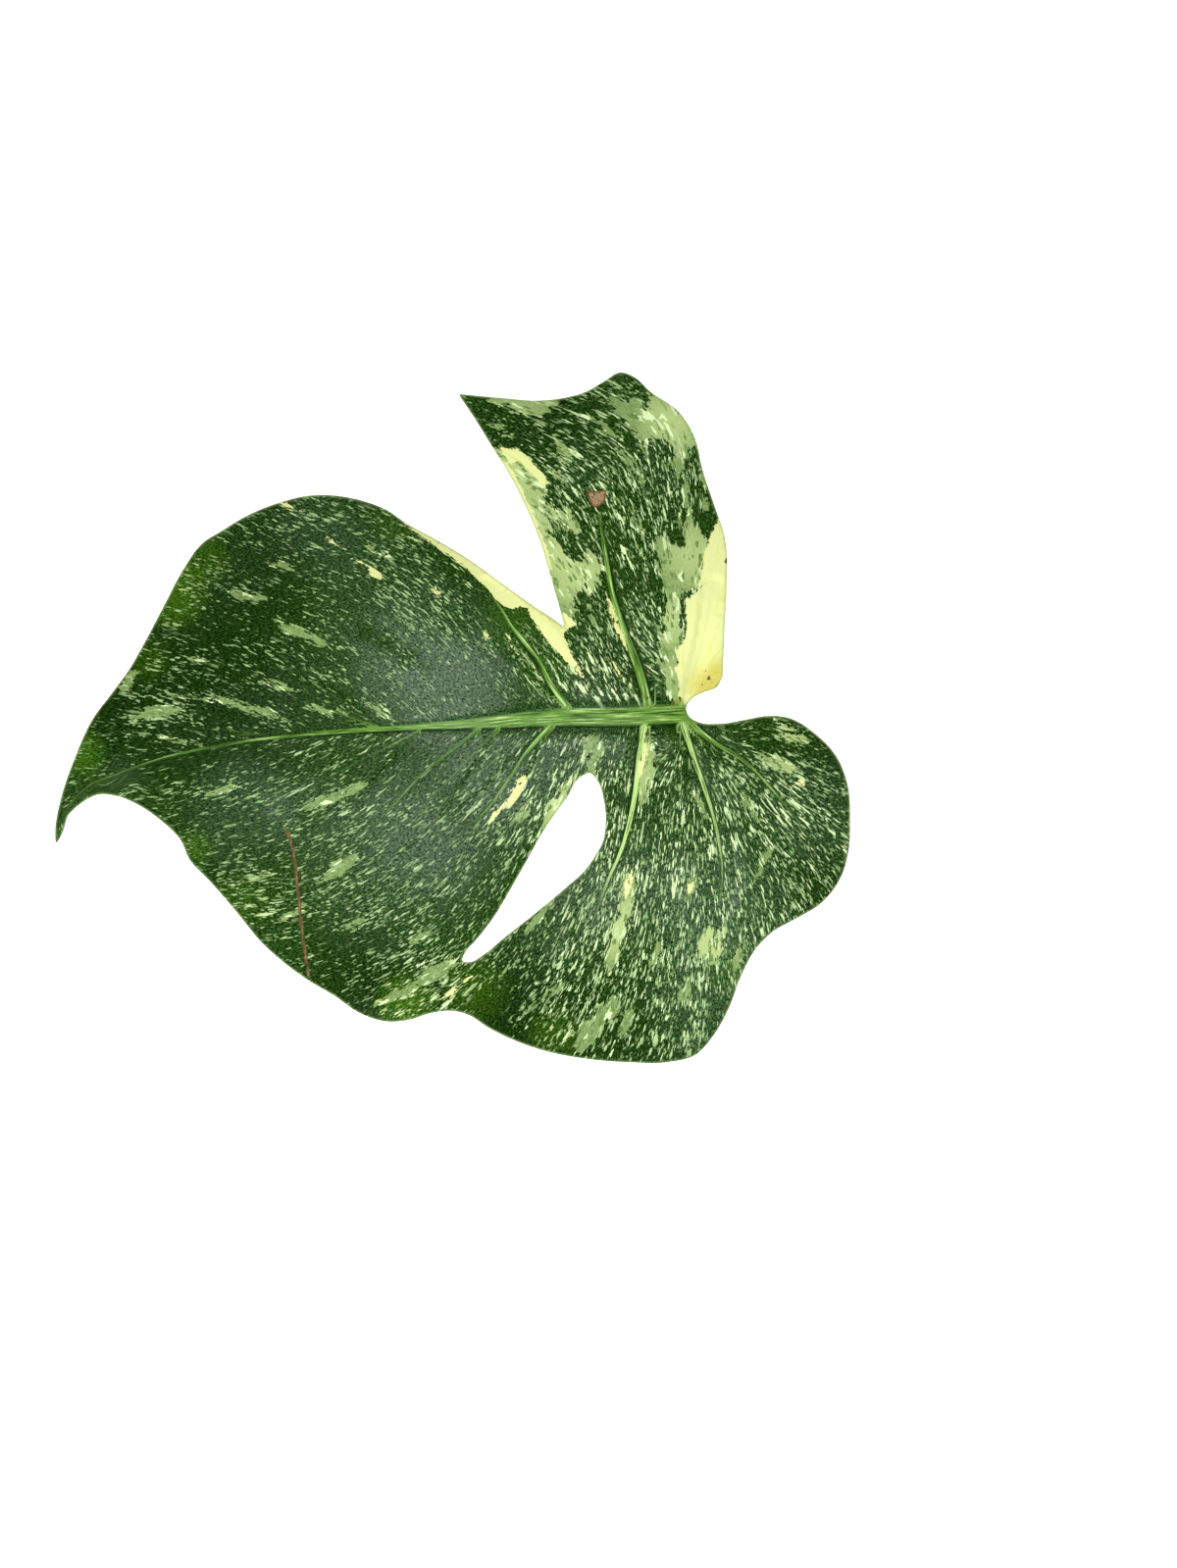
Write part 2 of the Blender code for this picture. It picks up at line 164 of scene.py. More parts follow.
# Elsewhere: how far from a rib the pillow is full, how far and how wide the margin turns down, how far the
# rim bulges and the most of the thickness that it may, and how softly and how low the blade lands.
PILLOW_REACH = 11.0
TURNED_DROP = 0.35
TURNED_WIDTH = 1.6
RIM_BULGE = 0.25
RIM_SHARE = 0.35
SOFT_LANDING = 5.0
LANDING_DROP = 1.0

# How the fine veins leave the midrib: the distance from the stalk along it, the angle there in degrees,
# counted from +X up the notched side or down the window side, and how many degrees they turn towards the
# tip in their first 100 mm. Below 0 they fan from the stalk. They are followed in steps to the distances
# in FLOW_REACH, and no further than FLOW_END, which gives a distance for a place on the midrib. Sample
# veins are FAN_STEP apart in the fan and VEIN_STEP apart on the midrib. The distances that the blade keeps
# stop at the FARTHEST ones: from a rib in half widths, and from the margin in millimetres.
FLOW_ABOVE = [
    (-45, 35, 15), (-20, 68, 20), (0, 92, 15), (14, 111, 25), (31, 118, 34), (44, 122, 36), (56, 126, 38),
    (76, 131, 38), (108, 141, 38), (141, 152, 36), (170, 162, 32), (192, 172, 28), (211, 186, 20),
    (226, 206, 10), (238, 238, 0),
]
FLOW_BELOW = [
    (-60, 5, 8), (-40, 32, 8), (-22, 55, 10), (-8, 70, 11), (0, 80, 12), (14, 95, 16), (31, 109, 22),
    (44, 119, 26), (56, 127, 28), (76, 137, 28), (108, 146, 26), (141, 153, 20), (170, 158, 10),
    (192, 160, 0), (211, 150, 0), (226, 130, 0), (238, 100, 0),
]
FLOW_REACH = (10.0, 25.0, 45.0, 70.0, 100.0, 135.0)
FLOW_END_ABOVE = [(0, 130), (236, 31)]
FLOW_END_BELOW = [(0, 136), (90, 140), (110, 106), (120, 80), (236, 31)]
FAN_STEP = 10.0
VEIN_STEP = 13.0
SPACING_LIMITS = (0.06, 8.0)
FARTHEST_RIB = 8.0
FARTHEST_EDGE = 6.0

# Cream and sage sectors: their edges, running past the margin where they reach it. A place is as deep in a
# shape as it is far from its edge, and OUTSIDE_DEPTH stands for anywhere well outside.
OUTSIDE_DEPTH = -4.0
CREAM_SECTORS = [
    [(-17.6, 71.3), (-5, 62), (4.9, 55.1), (11.1, 49), (18.7, 40.7), (22, 40), (24.1, 40.7), (27.6, 40),
     (30.4, 34.4), (35.2, 28.2), (39.3, 23.4), (44.2, 18.5), (50.2, 11.6), (45.9, 19.2), (43.2, 24.8),
     (40.4, 31), (46, 34), (21, 54), (-17, 78)],
    [(97.6, 73), (93.6, 64.4), (91.8, 57.2), (90.4, 46.1), (85.3, 43.5), (86.3, 33.1), (84.7, 27.7),
     (81.4, 24.3), (82.5, 20.5), (81.4, 17.7), (83, 14.4), (83, 7.9), (85.3, 4.3), (92, 4), (110, 8),
     (108, 76)],
    [(16.5, 100), (25, 98.2), (29.5, 93.5), (34.6, 88), (36, 85.5), (33, 85), (28, 91.5), (24.5, 94),
     (21.5, 93)],
    [(17, 96), (22, 91), (27.5, 80), (33.5, 66), (36.8, 54.5), (33.5, 52), (22, 80)],
]
SAGE_SECTORS = [
    [(17.6, 99), (24.8, 98.6), (32.8, 89.6), (36.4, 87.1), (33.8, 84.2), (34.6, 78.4), (38.5, 77.6),
     (42.8, 75.2), (47.2, 69.5), (46.1, 67.3), (42.1, 69.6), (36.6, 73), (34.2, 74), (36.2, 67.3),
     (40, 61.9), (43.9, 58), (48.2, 57.4), (50, 61), (52.6, 60), (55.1, 54), (53, 48.5), (54, 38.5),
     (50.8, 43.9), (49, 48), (46, 45.5), (44.9, 38.5), (42.3, 32), (36, 33), (28, 66), (10, 99)],
    [(74.8, 66.2), (75.2, 57.2), (77.3, 46.1), (77.8, 37.9), (76.3, 31.9), (76.3, 19.8), (78.8, 14.8),
     (78.3, 8.6), (82.3, 5.8), (84.5, 7), (84, 45), (92, 50), (93, 60), (94.5, 66), (91.8, 68.4),
     (89.6, 71.3), (86.8, 78.5), (85.6, 74.3), (85.3, 68.8), (84.2, 62.2), (82, 63.6), (79.2, 65.2)],
    [(57.6, 118.8), (63, 115.7), (67.2, 116.8), (71.2, 112.7), (73.3, 120.8), (88, 118), (92, 104),
     (86.8, 98), (84.8, 91.5), (82.6, 87), (80.9, 93.6), (81.3, 99.6), (76.3, 104.2), (72.6, 102.7),
     (71.6, 95.6), (68.6, 102.6), (63.1, 107.6), (59, 112.7)],
    [(12.6, 116.7), (25.8, 111.4), (33, 110.8), (36.9, 112.3), (40, 121), (12, 121)],
]

# Splashes: both ends of each and its full width; the flow of the fine veins frays them.
SAGE_SPLASHES = [
    (-64.8, 35.3, -46.8, 27.2, 4.0), (-84.2, 46.3, -68.8, 43.2, 2.6), (-118, 0, -100.4, 3.2, 4.4),
    (-103.3, 8.3, -81, 6.4, 2.0), (-84, 6, -59, -0.4, 2.4), (-54.4, 5, -39.6, 1.1, 1.8),
    (-34.9, 7.2, -20.5, -0.4, 2.2), (-54.4, -33.5, -32, -24.8, 4.0), (-46.1, -58, -35.6, -51.1, 5.4),
    (-27.7, -105.1, -12, -97.6, 4.4), (-13, -98, 0.5, -88.9, 6.0), (-15.1, -82.4, -9, -78.5, 2.8),
    (22.3, -39.6, 29.9, -28.8, 2.8), (34.4, -39.5, 43.2, -24.8, 5.4), (46.8, -15.5, 53, -6.5, 3.8),
    (53.6, -8.5, 51.4, -19.5, 4.6), (69.2, -30.5, 72.6, -7.5, 5.6), (86.8, -6.5, 92.5, -23.8, 2.8),
    (64.6, -57, 63, -76, 5.4), (62.4, -72, 57.2, -93.2, 5.0), (46.8, -121.7, 54, -110, 8.0),
    (53, -112, 60.5, -103.6, 7.0), (62.3, -116.6, 65.5, -106.6, 3.6), (73.4, -91.4, 76.4, -83.3, 3.4),
    (91.1, -88.2, 94.6, -78, 4.6), (95, -90, 101.5, -74.2, 3.4), (86, -67, 90, -55.1, 2.8),
    (118.8, -5.4, 127.8, -8.6, 4.2), (113, -14, 126.7, -19.8, 4.6), (-121, 11, -117, 16.5, 4.2),
    (38.5, 100.8, 43, 94, 3.2), (52, 111, 59, 103, 3.0), (57, 93.5, 61.5, 87.5, 2.2),
    (62, 97.5, 70, 87, 2.6), (14, 108, 22, 104, 2.2), (33.5, 92.8, 41.5, 86.6, 1.6),
    (53.5, 33.5, 49, 43, 2.2), (82.7, 69, 86.2, 87, 2.0), (92, 88, 93, 77, 1.6), (66, 77, 70, 66, 2.2),
    (88, -27, 93, -36, 2.2), (106, -27, 111, -37, 2.6), (112, -58, 118, -46, 2.8),
    (103, -93, 107, -84, 2.6), (83, -105, 88, -95, 2.6), (40, -62, 27, -79, 2.0),
    (33, -104, 41, -97, 2.0), (22, -112, 32, -105, 2.2), (15, -96, 24, -90, 2.0),
    (115, 1, 131, -9, 1.8), (-90, -28, -78, -24.6, 1.8), (-64, -75, -54, -69, 1.8),
    (-75, -60, -66, -56.6, 1.8), (-40, -78, -33, -73.6, 1.8), (-14, 33, -20, 37, 1.6),
    (-96, 22, -86, 20, 1.6), (-70, 13, -57, 9.6, 1.6), (-31, 63, -22, 58, 1.6),
    (-107, -7, -92, -10, 1.4), (-68, 58, -58, 55, 1.8),
]
CREAM_SPLASHES = [
    (20.5, -32.8, 27.6, -20.6, 2.8), (13.7, -38.5, 19.4, -31.7, 2.0), (68.4, -22, 71.4, -9, 2.2),
    (65.4, -55.6, 64, -66, 2.0), (64.0, 24.5, 56.8, 43.5, 1.9), (126.6, -22.2, 128.6, -24.4, 2.8),
    (36, 30, 27, 42, 1.0), (62.3, 14, 58.2, 22, 1.0), (47.5, 14.5, 44, 20, 1.1),
    (-3.6, 43, -6.6, 47.4, 1.2), (14, 28.4, 11.6, 31.6, 1.3), (31.5, 17.4, 33.6, 13.8, 1.2),
    (26, 20, 20, 30, 0.9), (-30.6, 54.6, -25.8, 51, 1.9), (-38, 58.6, -31, 55.4, 1.4),
    (-63, 79.6, -58.8, 77, 1.3), (-46, 66, -41, 63.6, 1.2), (86.6, -64.4, 88, -60.6, 1.6),
    (-5, -104, 7, -95, 1.4),
]

# Damage: a healed brown spot, a scar across the lower half, and dots on the margin, the midrib's head and
# the fold, each as place and radius. The CRISPNESS values sharpen the edges of the spot and of the scar.
BROWN_SPOT = [(49.2, 83.8), (52, 82.8), (56.6, 84.2), (56.4, 80.4), (54.2, 77.4), (51.8, 77.2), (50.2, 79.8)]
SCAR = [(-61, -40.5), (-58.5, -48), (-56.8, -62), (-55.4, -76), (-53, -95)]
SCAR_WIDTH = 1.3
SPOT_CRISPNESS = 1.5
SCAR_CRISPNESS = 2.0
BROWN_DOTS = [
    (100.6, 57.6, 1.0), (71.4, 7.2, 0.8), (71.4, -6, 0.8), (94.2, 14.6, 0.8), (91.6, 12.0, 0.5),
    (96.4, 17.4, 0.4), (82.6, 23, 0.3), (95.4, 13, 0.5), (93, 17, 0.3),
]

# Patches as place, radius and strength: where the fine speckling is dense, where young tissue shows lime
# green, where the tissue is darker, where sage is nearly cream, where the cream corner past the fold has
# painted shade, and where the wax is thick, which gives a real coat and a painted sheen that lightens the
# tissue. A strength below 0 thins a patch that it overlaps.
SPECKLED = [
    (80, -55, 58, 1.0), (120, -45, 38, 1.0), (60, -105, 42, 0.9), (58, 88, 42, 1.0), (75, 40, 28, 0.7),
    (35, 12, 24, 0.6), (25, -28, 32, 0.6), (-15, -75, 40, 0.4), (-70, -72, 26, 0.4), (-108, 5, 20, 0.3),
    (-50, 66, 26, 0.35), (-5, 50, 26, 0.4), (-50, -25, 36, 0.35), (60, 15, 24, 0.9),
    (-10, -100, 22, 0.6), (60, -20, 30, 0.7),
]
LIME = [
    (-103, 46, 15, 0.9), (-136, -13, 10, 0.7), (8, -100, 14, 0.45), (-17, -105, 13, 0.9),
    (38, -116, 12, 0.5), (-90, 58, 10, 0.5), (-78, -68, 12, 0.35), (22, 36, 14, 0.4),
    (-112, 22, 10, 0.4), (35, 18, 12, 0.3), (-20, 72, 12, 0.3), (-95, -48, 8, 0.6), (100, -92, 10, 0.3),
]
SHADED = [
    (-90, 10, 52, 1.0), (-68, 62, 28, 0.5), (-120, 5, 30, 0.6), (20, -110, 34, 1.0),
    (-30, -98, 30, 0.8), (30, 115, 26, 0.8), (130, -20, 26, 0.6), (60, -115, 30, 0.5),
    (-85, -50, 26, 0.4), (60, 15, 16, 0.5), (135, -60, 18, 0.4),
]
PALE = [
    (27, 92, 18, 1.0), (36, 68, 16, 0.9), (46, 52, 14, 1.0), (82, 110, 16, 1.0), (80, 36, 12, 0.9),
    (88, 60, 14, 0.9), (79, 14, 10, 0.5), (61, -76, 15, 1.0), (37, -32, 10, 1.0), (70, -20, 12, 0.6),
    (122, -7, 11, 0.9), (122, -17, 8, 0.7), (92, -83, 11, 0.9), (99, -82, 9, 0.9), (24, 115, 12, 0.4),
]
# Painted shade: the cream corner that turns down past the fold is coloured yellower and darker.
FOLD_SHADE_PATCHES = [(94, 12, 9, 1.0), (98, 19, 5, 0.5), (84, 4, 4, 0.4)]
# Wax and painted sheen: these places get a coat, and their tissue is lightened towards a greyish green.
WAX_AND_SHEEN = [
    (-6, 20, 34, 0.9), (-28, 48, 28, 0.4), (-48, 68, 20, 0.45), (2, 4, 26, 0.35), (-78, -36, 24, 0.6),
    (-56, -36, 20, 0.3), (-24, -58, 36, 0.55), (-4, -34, 36, 0.45), (22, -20, 26, 0.6),
    (44, -4, 22, 0.45), (100, -68, 28, 1.0), (92, -100, 24, 0.85), (70, -66, 26, 0.35),
    (50, -66, 18, 0.5), (132, -34, 24, 0.5), (104, -30, 22, 0.3), (50, 92, 14, 0.25), (76, 92, 14, 0.3),
    (60, -6, 20, 0.4), (-122, -22, 10, 0.3), (40, -84, 10, 0.3), (-31, 31, 5, -0.7), (-24, 27, 6, -0.8),
    (-16, 22, 6, -0.8), (-9, 18, 4, -0.6), (2, 33, 4, -0.5), (-4, 37, 4, -0.5),
]
SHADED_TINT = (0.52, 0.58, 0.46)

# Flakes in the green tissue: width, length and the pattern's own place, then the share of the tissue that
# they cover where they crowd, what their drifts add to it, and the share that is everywhere. The drifts and
# the fine grain are patterns too, and GRAIN_TEAR is how far the grain tears a sector's edge.
SMALL_FLAKES = (0.38, 1.1, 11.0), (0.07, 0.32, 0.04)
MIDDLE_FLAKES = (0.4, 2.1, 17.0), (0.095, 0.26, 0.02)
LARGE_FLAKES = (0.7, 4.2, 23.0), (0.055, 0.15, -0.006)
DRIFTS = (14.0, 38.0, 31.0)
FINE_GRAIN = (0.45, 1.0, 1.0)
GRAIN_TEAR = 2.0

# The finish: how rough, how shiny and how grainy the two skins are, and the wax on the blade. The bump's
# distance is in metres.
BLADE_ROUGHNESS = 0.36
BLADE_SPECULAR = 0.03
BLADE_GRAIN = 0.5
STALK_ROUGHNESS = 0.4
STALK_SPECULAR = 0.4
STALK_GRAIN = 0.4
WAX_COAT = 0.5
WAX_ROUGHNESS = 0.4
BUMP = {"Strength": 0.4, "Distance": 0.0004}

# The fold at the midrib's head: its line, and how steeply the corner beyond it drops, up to a width.
FOLD = [(87, 9), (99, 23)]
FOLD_DROP = 0.55
FOLD_WIDTH = 9.0

# The stalk: its route from under the midrib's head to the cut end, and its radius along the way. The knee
# is its bend. The channel's width and the sharp angle are in radians and degrees, the cut's insets are
# shares of the radius and its depths are in millimetres, and its pores are counted per metre.
STALK_ROUTE = [
    (80, 1.2, 27.6), (79.6, 1.2, 19), (76.5, 1.1, 11.5), (69.5, 0.8, 6.2), (58, 0.3, 4.1), (40, -1, 3.5),
    (15, -3.5, 3.4), (-14, -5, 3.4),
]
STALK_RADII = [3.4, 3.7, 3.65, 3.4, 3.25, 3.2, 3.15, 3.2]
STALK_STEP = 0.5
STALK_SIDES = 72
KNEE_LENGTH = 26.0
KNEE_WRINKLE = 2.1
WRINKLE_DEPTH = 0.09
RIDGE_COUNT = 9
RIDGE_HEIGHT = 0.03
CHANNEL_DEPTH = 0.22
CHANNEL_WIDTH = 0.35
CUT_INSETS = (0.93, 0.6, 0.25)
CUT_DEPTHS = (-0.05, 0.08, 0.2)
CUT_HEART = 0.22
CUT_PORES = 1500.0
LINES_AROUND = 24.0
SHARP_ANGLE = 50

# The studio, in metres: the view is straight down, centred beside the leaf. BACKDROP is how bright the
# surroundings look behind the floor's far edge. Only SENSOR_WIDTH is in millimetres.
VIEW_CENTRE = (0.0500, -0.0243)
VIEW_LONG_SIDE = 0.5756
VIEW_PLANE = 0.018
SENSOR_WIDTH = 36.0
FAR_END = 20.0
KEY_PLACE = (-0.06, -0.3, 1.7)
KEY_AIM = (0.0, 0.0, 0.02)
FLOOR_HALF = 4.0
FLOOR_DROP = 0.0003
FLOOR_COLOUR = (0.8, 0.8, 0.8, 1.0)
FLOOR_ROUGHNESS = 0.9
FLOOR_SPECULAR = 0.1
GLOW_COLOUR = (1.0, 1.0, 1.0, 1.0)
SKY_COLOUR = (0.97, 0.98, 1.0, 1.0)
BACKDROP = 0.92


def linear(red, green, blue):
    """A colour given in 8-bit display values, as linear values."""
    shares = [value / 255 for value in (red, green, blue)]
    return tuple(s / 12.92 if s <= 0.04045 else ((s + 0.055) / 1.055) ** 2.4 for s in shares)


def colour_property(name, description, red, green, blue):
    """A colour that the user may change."""
    default = linear(red, green, blue)
    return FloatVectorProperty(name=name, description=description, subtype="COLOR", size=3, default=default,
                               min=0.0, max=1.0)


class LeafShape(bpy.types.PropertyGroup):
    """Sizes of the blade's surface."""

    grid: FloatProperty(name="Grid", description="Spacing of the blade's grid", default=0.001, unit="LENGTH")
    sheet: FloatProperty(name="Sheet", description="Thickness of the blade", default=0.0007, unit="LENGTH")
    pillow: FloatProperty(name="Pillow", description="How far the blade bulges between its ribs",
                          default=0.0013, unit="LENGTH")
    ripple: FloatProperty(name="Ripple", description="Height of the ripples along the fine veins",
                          default=0.00012, unit="LENGTH")
    ripple_length: FloatProperty(name="Ripple spacing", description="Spacing of the ripples", default=0.0052,
                                 unit="LENGTH")


class LeafColours(bpy.types.PropertyGroup):
    """Colours of the blade and the stalk."""

    deep: colour_property("Deep green", "The darkest tissue", 8, 27, 3)
    leaf: colour_property("Leaf green", "The common tissue", 33, 64, 15)
    light: colour_property("Light green", "The lighter mottling in the tissue", 66, 100, 40)
    lime: colour_property("Lime green", "Young tissue near the margin", 66, 108, 12)
    # Painted sheen: the greyish green that the tissue is lightened towards where the wax is.
    wax_and_sheen: colour_property("Waxy green", "Tissue below a bloom of wax", 78, 108, 76)
    speck: colour_property("Speckle", "Fine pale flakes", 112, 144, 88)
    speck_pale: colour_property("Paler speckle", "Pale flakes where they are few", 148, 176, 118)
    bright: colour_property("Bright speckle", "The brightest flakes", 204, 225, 168)
    sage: colour_property("Sage", "Half-green sectors and splashes", 130, 155, 96)
    sage_pale: colour_property("Pale sage", "Sage that is nearly cream", 176, 194, 126)
    sage_dull: colour_property("Dull sage", "Shading inside the sage sectors", 96, 122, 66)
    cream: colour_property("Cream", "Sectors with no green", 207, 213, 145)
    cream_deep: colour_property("Deep cream", "Yellower lines in the cream", 198, 201, 110)
    # Painted shade: the yellower, darker cream of the corner that turns down past the fold.
    fold_shade: colour_property("Stain", "The aged corner of the cream", 200, 184, 58)
    rib: colour_property("Rib green", "Ribs seen from above", 92, 134, 50)
    rib_pale: colour_property("Rib streaks", "Pale lines along the ribs", 176, 208, 126)
    under: colour_property("Underside", "The matt underside", 104, 138, 78)
    brown: colour_property("Brown", "The middle of a dead spot", 150, 124, 92)
    brown_dark: colour_property("Dark brown", "The rim of a dead spot, and scars", 90, 72, 44)
    stalk: colour_property("Stalk green", "The stalk", 92, 134, 54)


class StudioSettings(bpy.types.PropertyGroup):
    """The studio's lights and camera."""

    camera_height: FloatProperty(name="Camera height", description="Height of the camera above the surface",
                                 default=6.0, unit="LENGTH")
    key_power: FloatProperty(name="Key light", description="Power of the large soft light overhead",
                             default=52.0, subtype="POWER")
    key_size: FloatProperty(name="Key light size", description="Side of the light overhead", default=1.5,
                            unit="LENGTH")
    sky: FloatProperty(name="Sky", description="Brightness of the surroundings", default=0.12, min=0.0)
    glow: FloatProperty(name="Surface glow", description="How much the pale surface shines by itself",
                        default=0.8, min=0.0)


class MonsteraSettings(bpy.types.PropertyGroup):
    """Everything that the panel shows."""

    shape: PointerProperty(type=LeafShape)
    colours: PointerProperty(type=LeafColours)
    studio: PointerProperty(type=StudioSettings)


# ---------------------------------------------------------------- curves, distances and heights

def smooth_curve(points, step, closed=False):
    """Points about one step apart on a curve through the given points, in any number of dimensions.

    Each stretch is a cubic. Its direction at a point is the mean of the two chords that meet there, and
    the shorter chord counts for more, so the curve neither loops nor overshoots.
    """
    knots = np.array(points, float)
    if closed:
        knots = np.vstack([knots[-1], knots, knots[0], knots[1]])
    chord = np.linalg.norm(np.diff(knots, axis=0), axis=1)
    along = np.concatenate([[0.0], np.cumsum(chord)])
    secant = np.diff(knots, axis=0) / chord[:, None]
    weight = (chord[:-1] / (chord[:-1] + chord[1:]))[:, None]
    middle = secant[:-1] * (1 - weight) + secant[1:] * weight
    slope = np.vstack([secant[0], middle, secant[-1]])
    first, last = (along[1], along[-2]) if closed else (along[0], along[-1])
    count = max(2, round((last - first) / step) + 1)
    at = np.linspace(first, last, count)
    k = np.clip(np.searchsorted(along, at, side="right") - 1, 0, len(chord) - 1)
    t = ((at - along[k]) / chord[k])[:, None]
    span = chord[k][:, None]
    start = (1 + 2 * t) * (1 - t) ** 2 * knots[k] + t * (1 - t) ** 2 * span * slope[k]
    end = t * t * (3 - 2 * t) * knots[k + 1] - t * t * (1 - t) * span * slope[k + 1]
    curve = start + end
    return curve[:-1] if closed else curve


def margin_loops(step):
    """The outer margin and the window's edge as closed loops of points."""
    runs = [LOWER_MARGIN, LOBE_OUTER_MARGIN, LOBE_INNER_MARGIN, UPPER_MARGIN]
    outer = np.vstack([smooth_curve(run, step)[:-1] for run in runs])
    return outer, smooth_curve(WINDOW, step, closed=True)


def in_parts(function, points, size=4000):
    """The function's answers for the points, worked out a few thousand points at a time."""
    return np.concatenate([function(points[k:k + size]) for k in range(0, len(points), size)])


def is_inside(points, loop):
    """Whether each point is inside a loop: a line to its right crosses it an odd number of times."""
    x0, y0 = loop[:, 0], loop[:, 1]
    x1, y1 = np.roll(x0, -1), np.roll(y0, -1)
    rise = np.where(y1 == y0, 1.0, y1 - y0)

    def crossings(part):
        """How many edges of the loop a line to the right of each point crosses."""
        x, y = part[:, :1], part[:, 1:2]
        straddles = (y0 > y) != (y1 > y)
        reach = x0 + (y - y0) * (x1 - x0) / rise
        return np.sum(straddles & (reach > x), axis=1)

    return in_parts(crossings, points) % 2 == 1


def nearest(points, targets):
    """The distance from each point to its nearest target, and which target that is."""

    def search(part):
        """The distance to the nearest target, beside that target's number."""
        across = part[:, None, 0] - targets[None, :, 0]
        along = part[:, None, 1] - targets[None, :, 1]
        square = across * across + along * along
        k = square.argmin(axis=1)
        return np.column_stack([np.sqrt(square[np.arange(len(part)), k]), k])

    found = in_parts(search, points)
    return found[:, 0], found[:, 1].astype(int)


def smooth_step(low, high, value):
    """0 up to low, 1 from high, and an S-shaped rise between them."""
    share = np.clip((value - low) / (high - low), 0.0, 1.0)
    return share * share * (3 - 2 * share)


def thin_plate(places, values):
    """A smooth field through values at places: a plane plus, for each place, its share of r squared log r,
    where r is the distance from it."""
    places = np.array(places, float)
    values = np.array(values, float).reshape(len(places), -1)
    count = len(places)

    def spread(points):
        """The pull of every place on every point: half the squared distance times its logarithm."""
        square = np.sum((points[:, None, :] - places[None, :, :]) ** 2, axis=2)
        return 0.5 * square * np.log(np.maximum(square, 1e-9))

    plane = np.column_stack([np.ones(count), places])
    system = np.block([[spread(places), plane], [plane.T, np.zeros((3, 3))]])
    pull = np.linalg.solve(system, np.vstack([values, np.zeros((3, values.shape[1]))]))

    def field(points):
        """The field at the points."""
        return spread(points) @ pull[:count] + pull[count] + points @ pull[count + 1:]

    return lambda points: in_parts(field, points)


def sheet_heights(points):
    """The blade's general height: a thin plate through HEIGHTS."""
    posts = np.array(HEIGHTS, float)
    return thin_plate(posts[:, :2], posts[:, 2])(points)[:, 0]


# ---------------------------------------------------------------- the blade's grid

def slide_to_edge(points, loops):
    """The nearest place on the loops to each point, on the line between two samples, and its distance."""
    samples = np.vstack(loops)
    after = np.concatenate([np.roll(loop, -1, axis=0) for loop in loops])
    before = np.concatenate([np.roll(loop, 1, axis=0) for loop in loops])
    _, k = nearest(points, samples)
    best = samples[k]
    least = np.linalg.norm(points - best, axis=1)
    for end in (before, after):
        run = end[k] - samples[k]
        share = np.sum((points - samples[k]) * run, axis=1) / np.maximum(np.sum(run * run, axis=1), 1e-12)
        spot = samples[k] + run * np.clip(share, 0.0, 1.0)[:, None]
        away = np.linalg.norm(points - spot, axis=1)
        closer = away < least
        best = np.where(closer[:, None], spot, best)
        least = np.minimum(away, least)
    return best, least


def in_blade(places, loops):
    """Whether each place is inside the margin and out of the window."""
    margin, window = loops
    return is_inside(places, margin) & ~is_inside(places, window)


def grid_nodes(loops, step):
    """A square grid over the blade: its nodes' places, which are inside or on an edge, and their numbers.

    Nodes closer to the margin than half a step slide onto it, and the leaf's sharp corners each take the
    node nearest to them. Only the nodes near the margin are tested against all of its samples.
    """
    samples = np.vstack(loops)
    low = samples.min(axis=0) - 2 * step
    size = np.ceil((samples.max(axis=0) + 2 * step - low) / step).astype(int) + 1
    index_x, index_y = np.meshgrid(np.arange(size[0]), np.arange(size[1]))
    places = np.column_stack([index_x.ravel(), index_y.ravel()]) * step + low
    inside = in_blade(places, [loop[::8] for loop in loops])
    close = np.zeros((size[1], size[0]), bool)
    cell = np.round((samples - low) / step).astype(int)
    for shift_x in (-1, 0, 1):
        for shift_y in (-1, 0, 1):
            close[cell[:, 1] + shift_y, cell[:, 0] + shift_x] = True
    k = np.flatnonzero(close.ravel())
    inside[k] = in_blade(places[k], loops)
    spot, away = slide_to_edge(places[k], loops)
    slides = away < 0.5 * step
    slid = k[slides]
    places[slid] = spot[slides]
    on_edge = np.zeros(len(places), bool)
    on_edge[slid] = True
    for corner in (DRIP_TIP, FOLDED_CORNER, LOBE_POINT, NOTCH):
        _, closest = nearest(np.array([corner], float), places[slid])
        places[slid[closest[0]]] = corner
    return places, inside, on_edge, np.arange(len(places)).reshape(size[1], size[0])


def cut_grid(step):
    """A square grid cut to the blade: its nodes' places, its square and triangular cells, and which nodes
    are well inside.

    A cell keeps its four corners, or becomes a triangle where one of them is outside.
    """
    loops = margin_loops(MARGIN_SAMPLE)
    places, inside, on_edge, numbers = grid_nodes(loops, step)
    cells = np.stack([numbers[:-1, :-1], numbers[:-1, 1:], numbers[1:, 1:], numbers[1:, :-1]], axis=-1)
    cells = cells.reshape(-1, 4)
    kept = inside | on_edge
    corners = kept[cells].sum(axis=1)
    broken = cells[corners == 3]
    missing = np.argmin(kept[broken], axis=1)
    turn = (missing[:, None] + np.array([1, 2, 3])) % 4
    well_inside = inside & ~on_edge

    def really_inside(faces):
        """The faces that have a node well inside, or their own middle inside the blade."""
        doubtful = np.flatnonzero(~well_inside[faces].any(axis=1))
        good = np.ones(len(faces), bool)
        good[doubtful] = in_blade(places[faces[doubtful]].mean(axis=1), loops)
        return faces[good]

    squares = really_inside(cells[corners == 4])
    triangles = really_inside(np.take_along_axis(broken, turn, axis=1))
    used = np.unique(np.concatenate([squares.ravel(), triangles.ravel()]))
    renumber = np.zeros(len(places), int)
    renumber[used] = np.arange(len(used))
    return places[used], renumber[squares], renumber[triangles], well_inside[used]


def directed_edges(squares, triangles):
    """Every cell's edges, each from its first node to its second."""
    runs = [np.column_stack([f[:, k], f[:, (k + 1) % f.shape[1]]])
            for f in (squares, triangles) for k in range(f.shape[1])]
    return np.concatenate(runs)


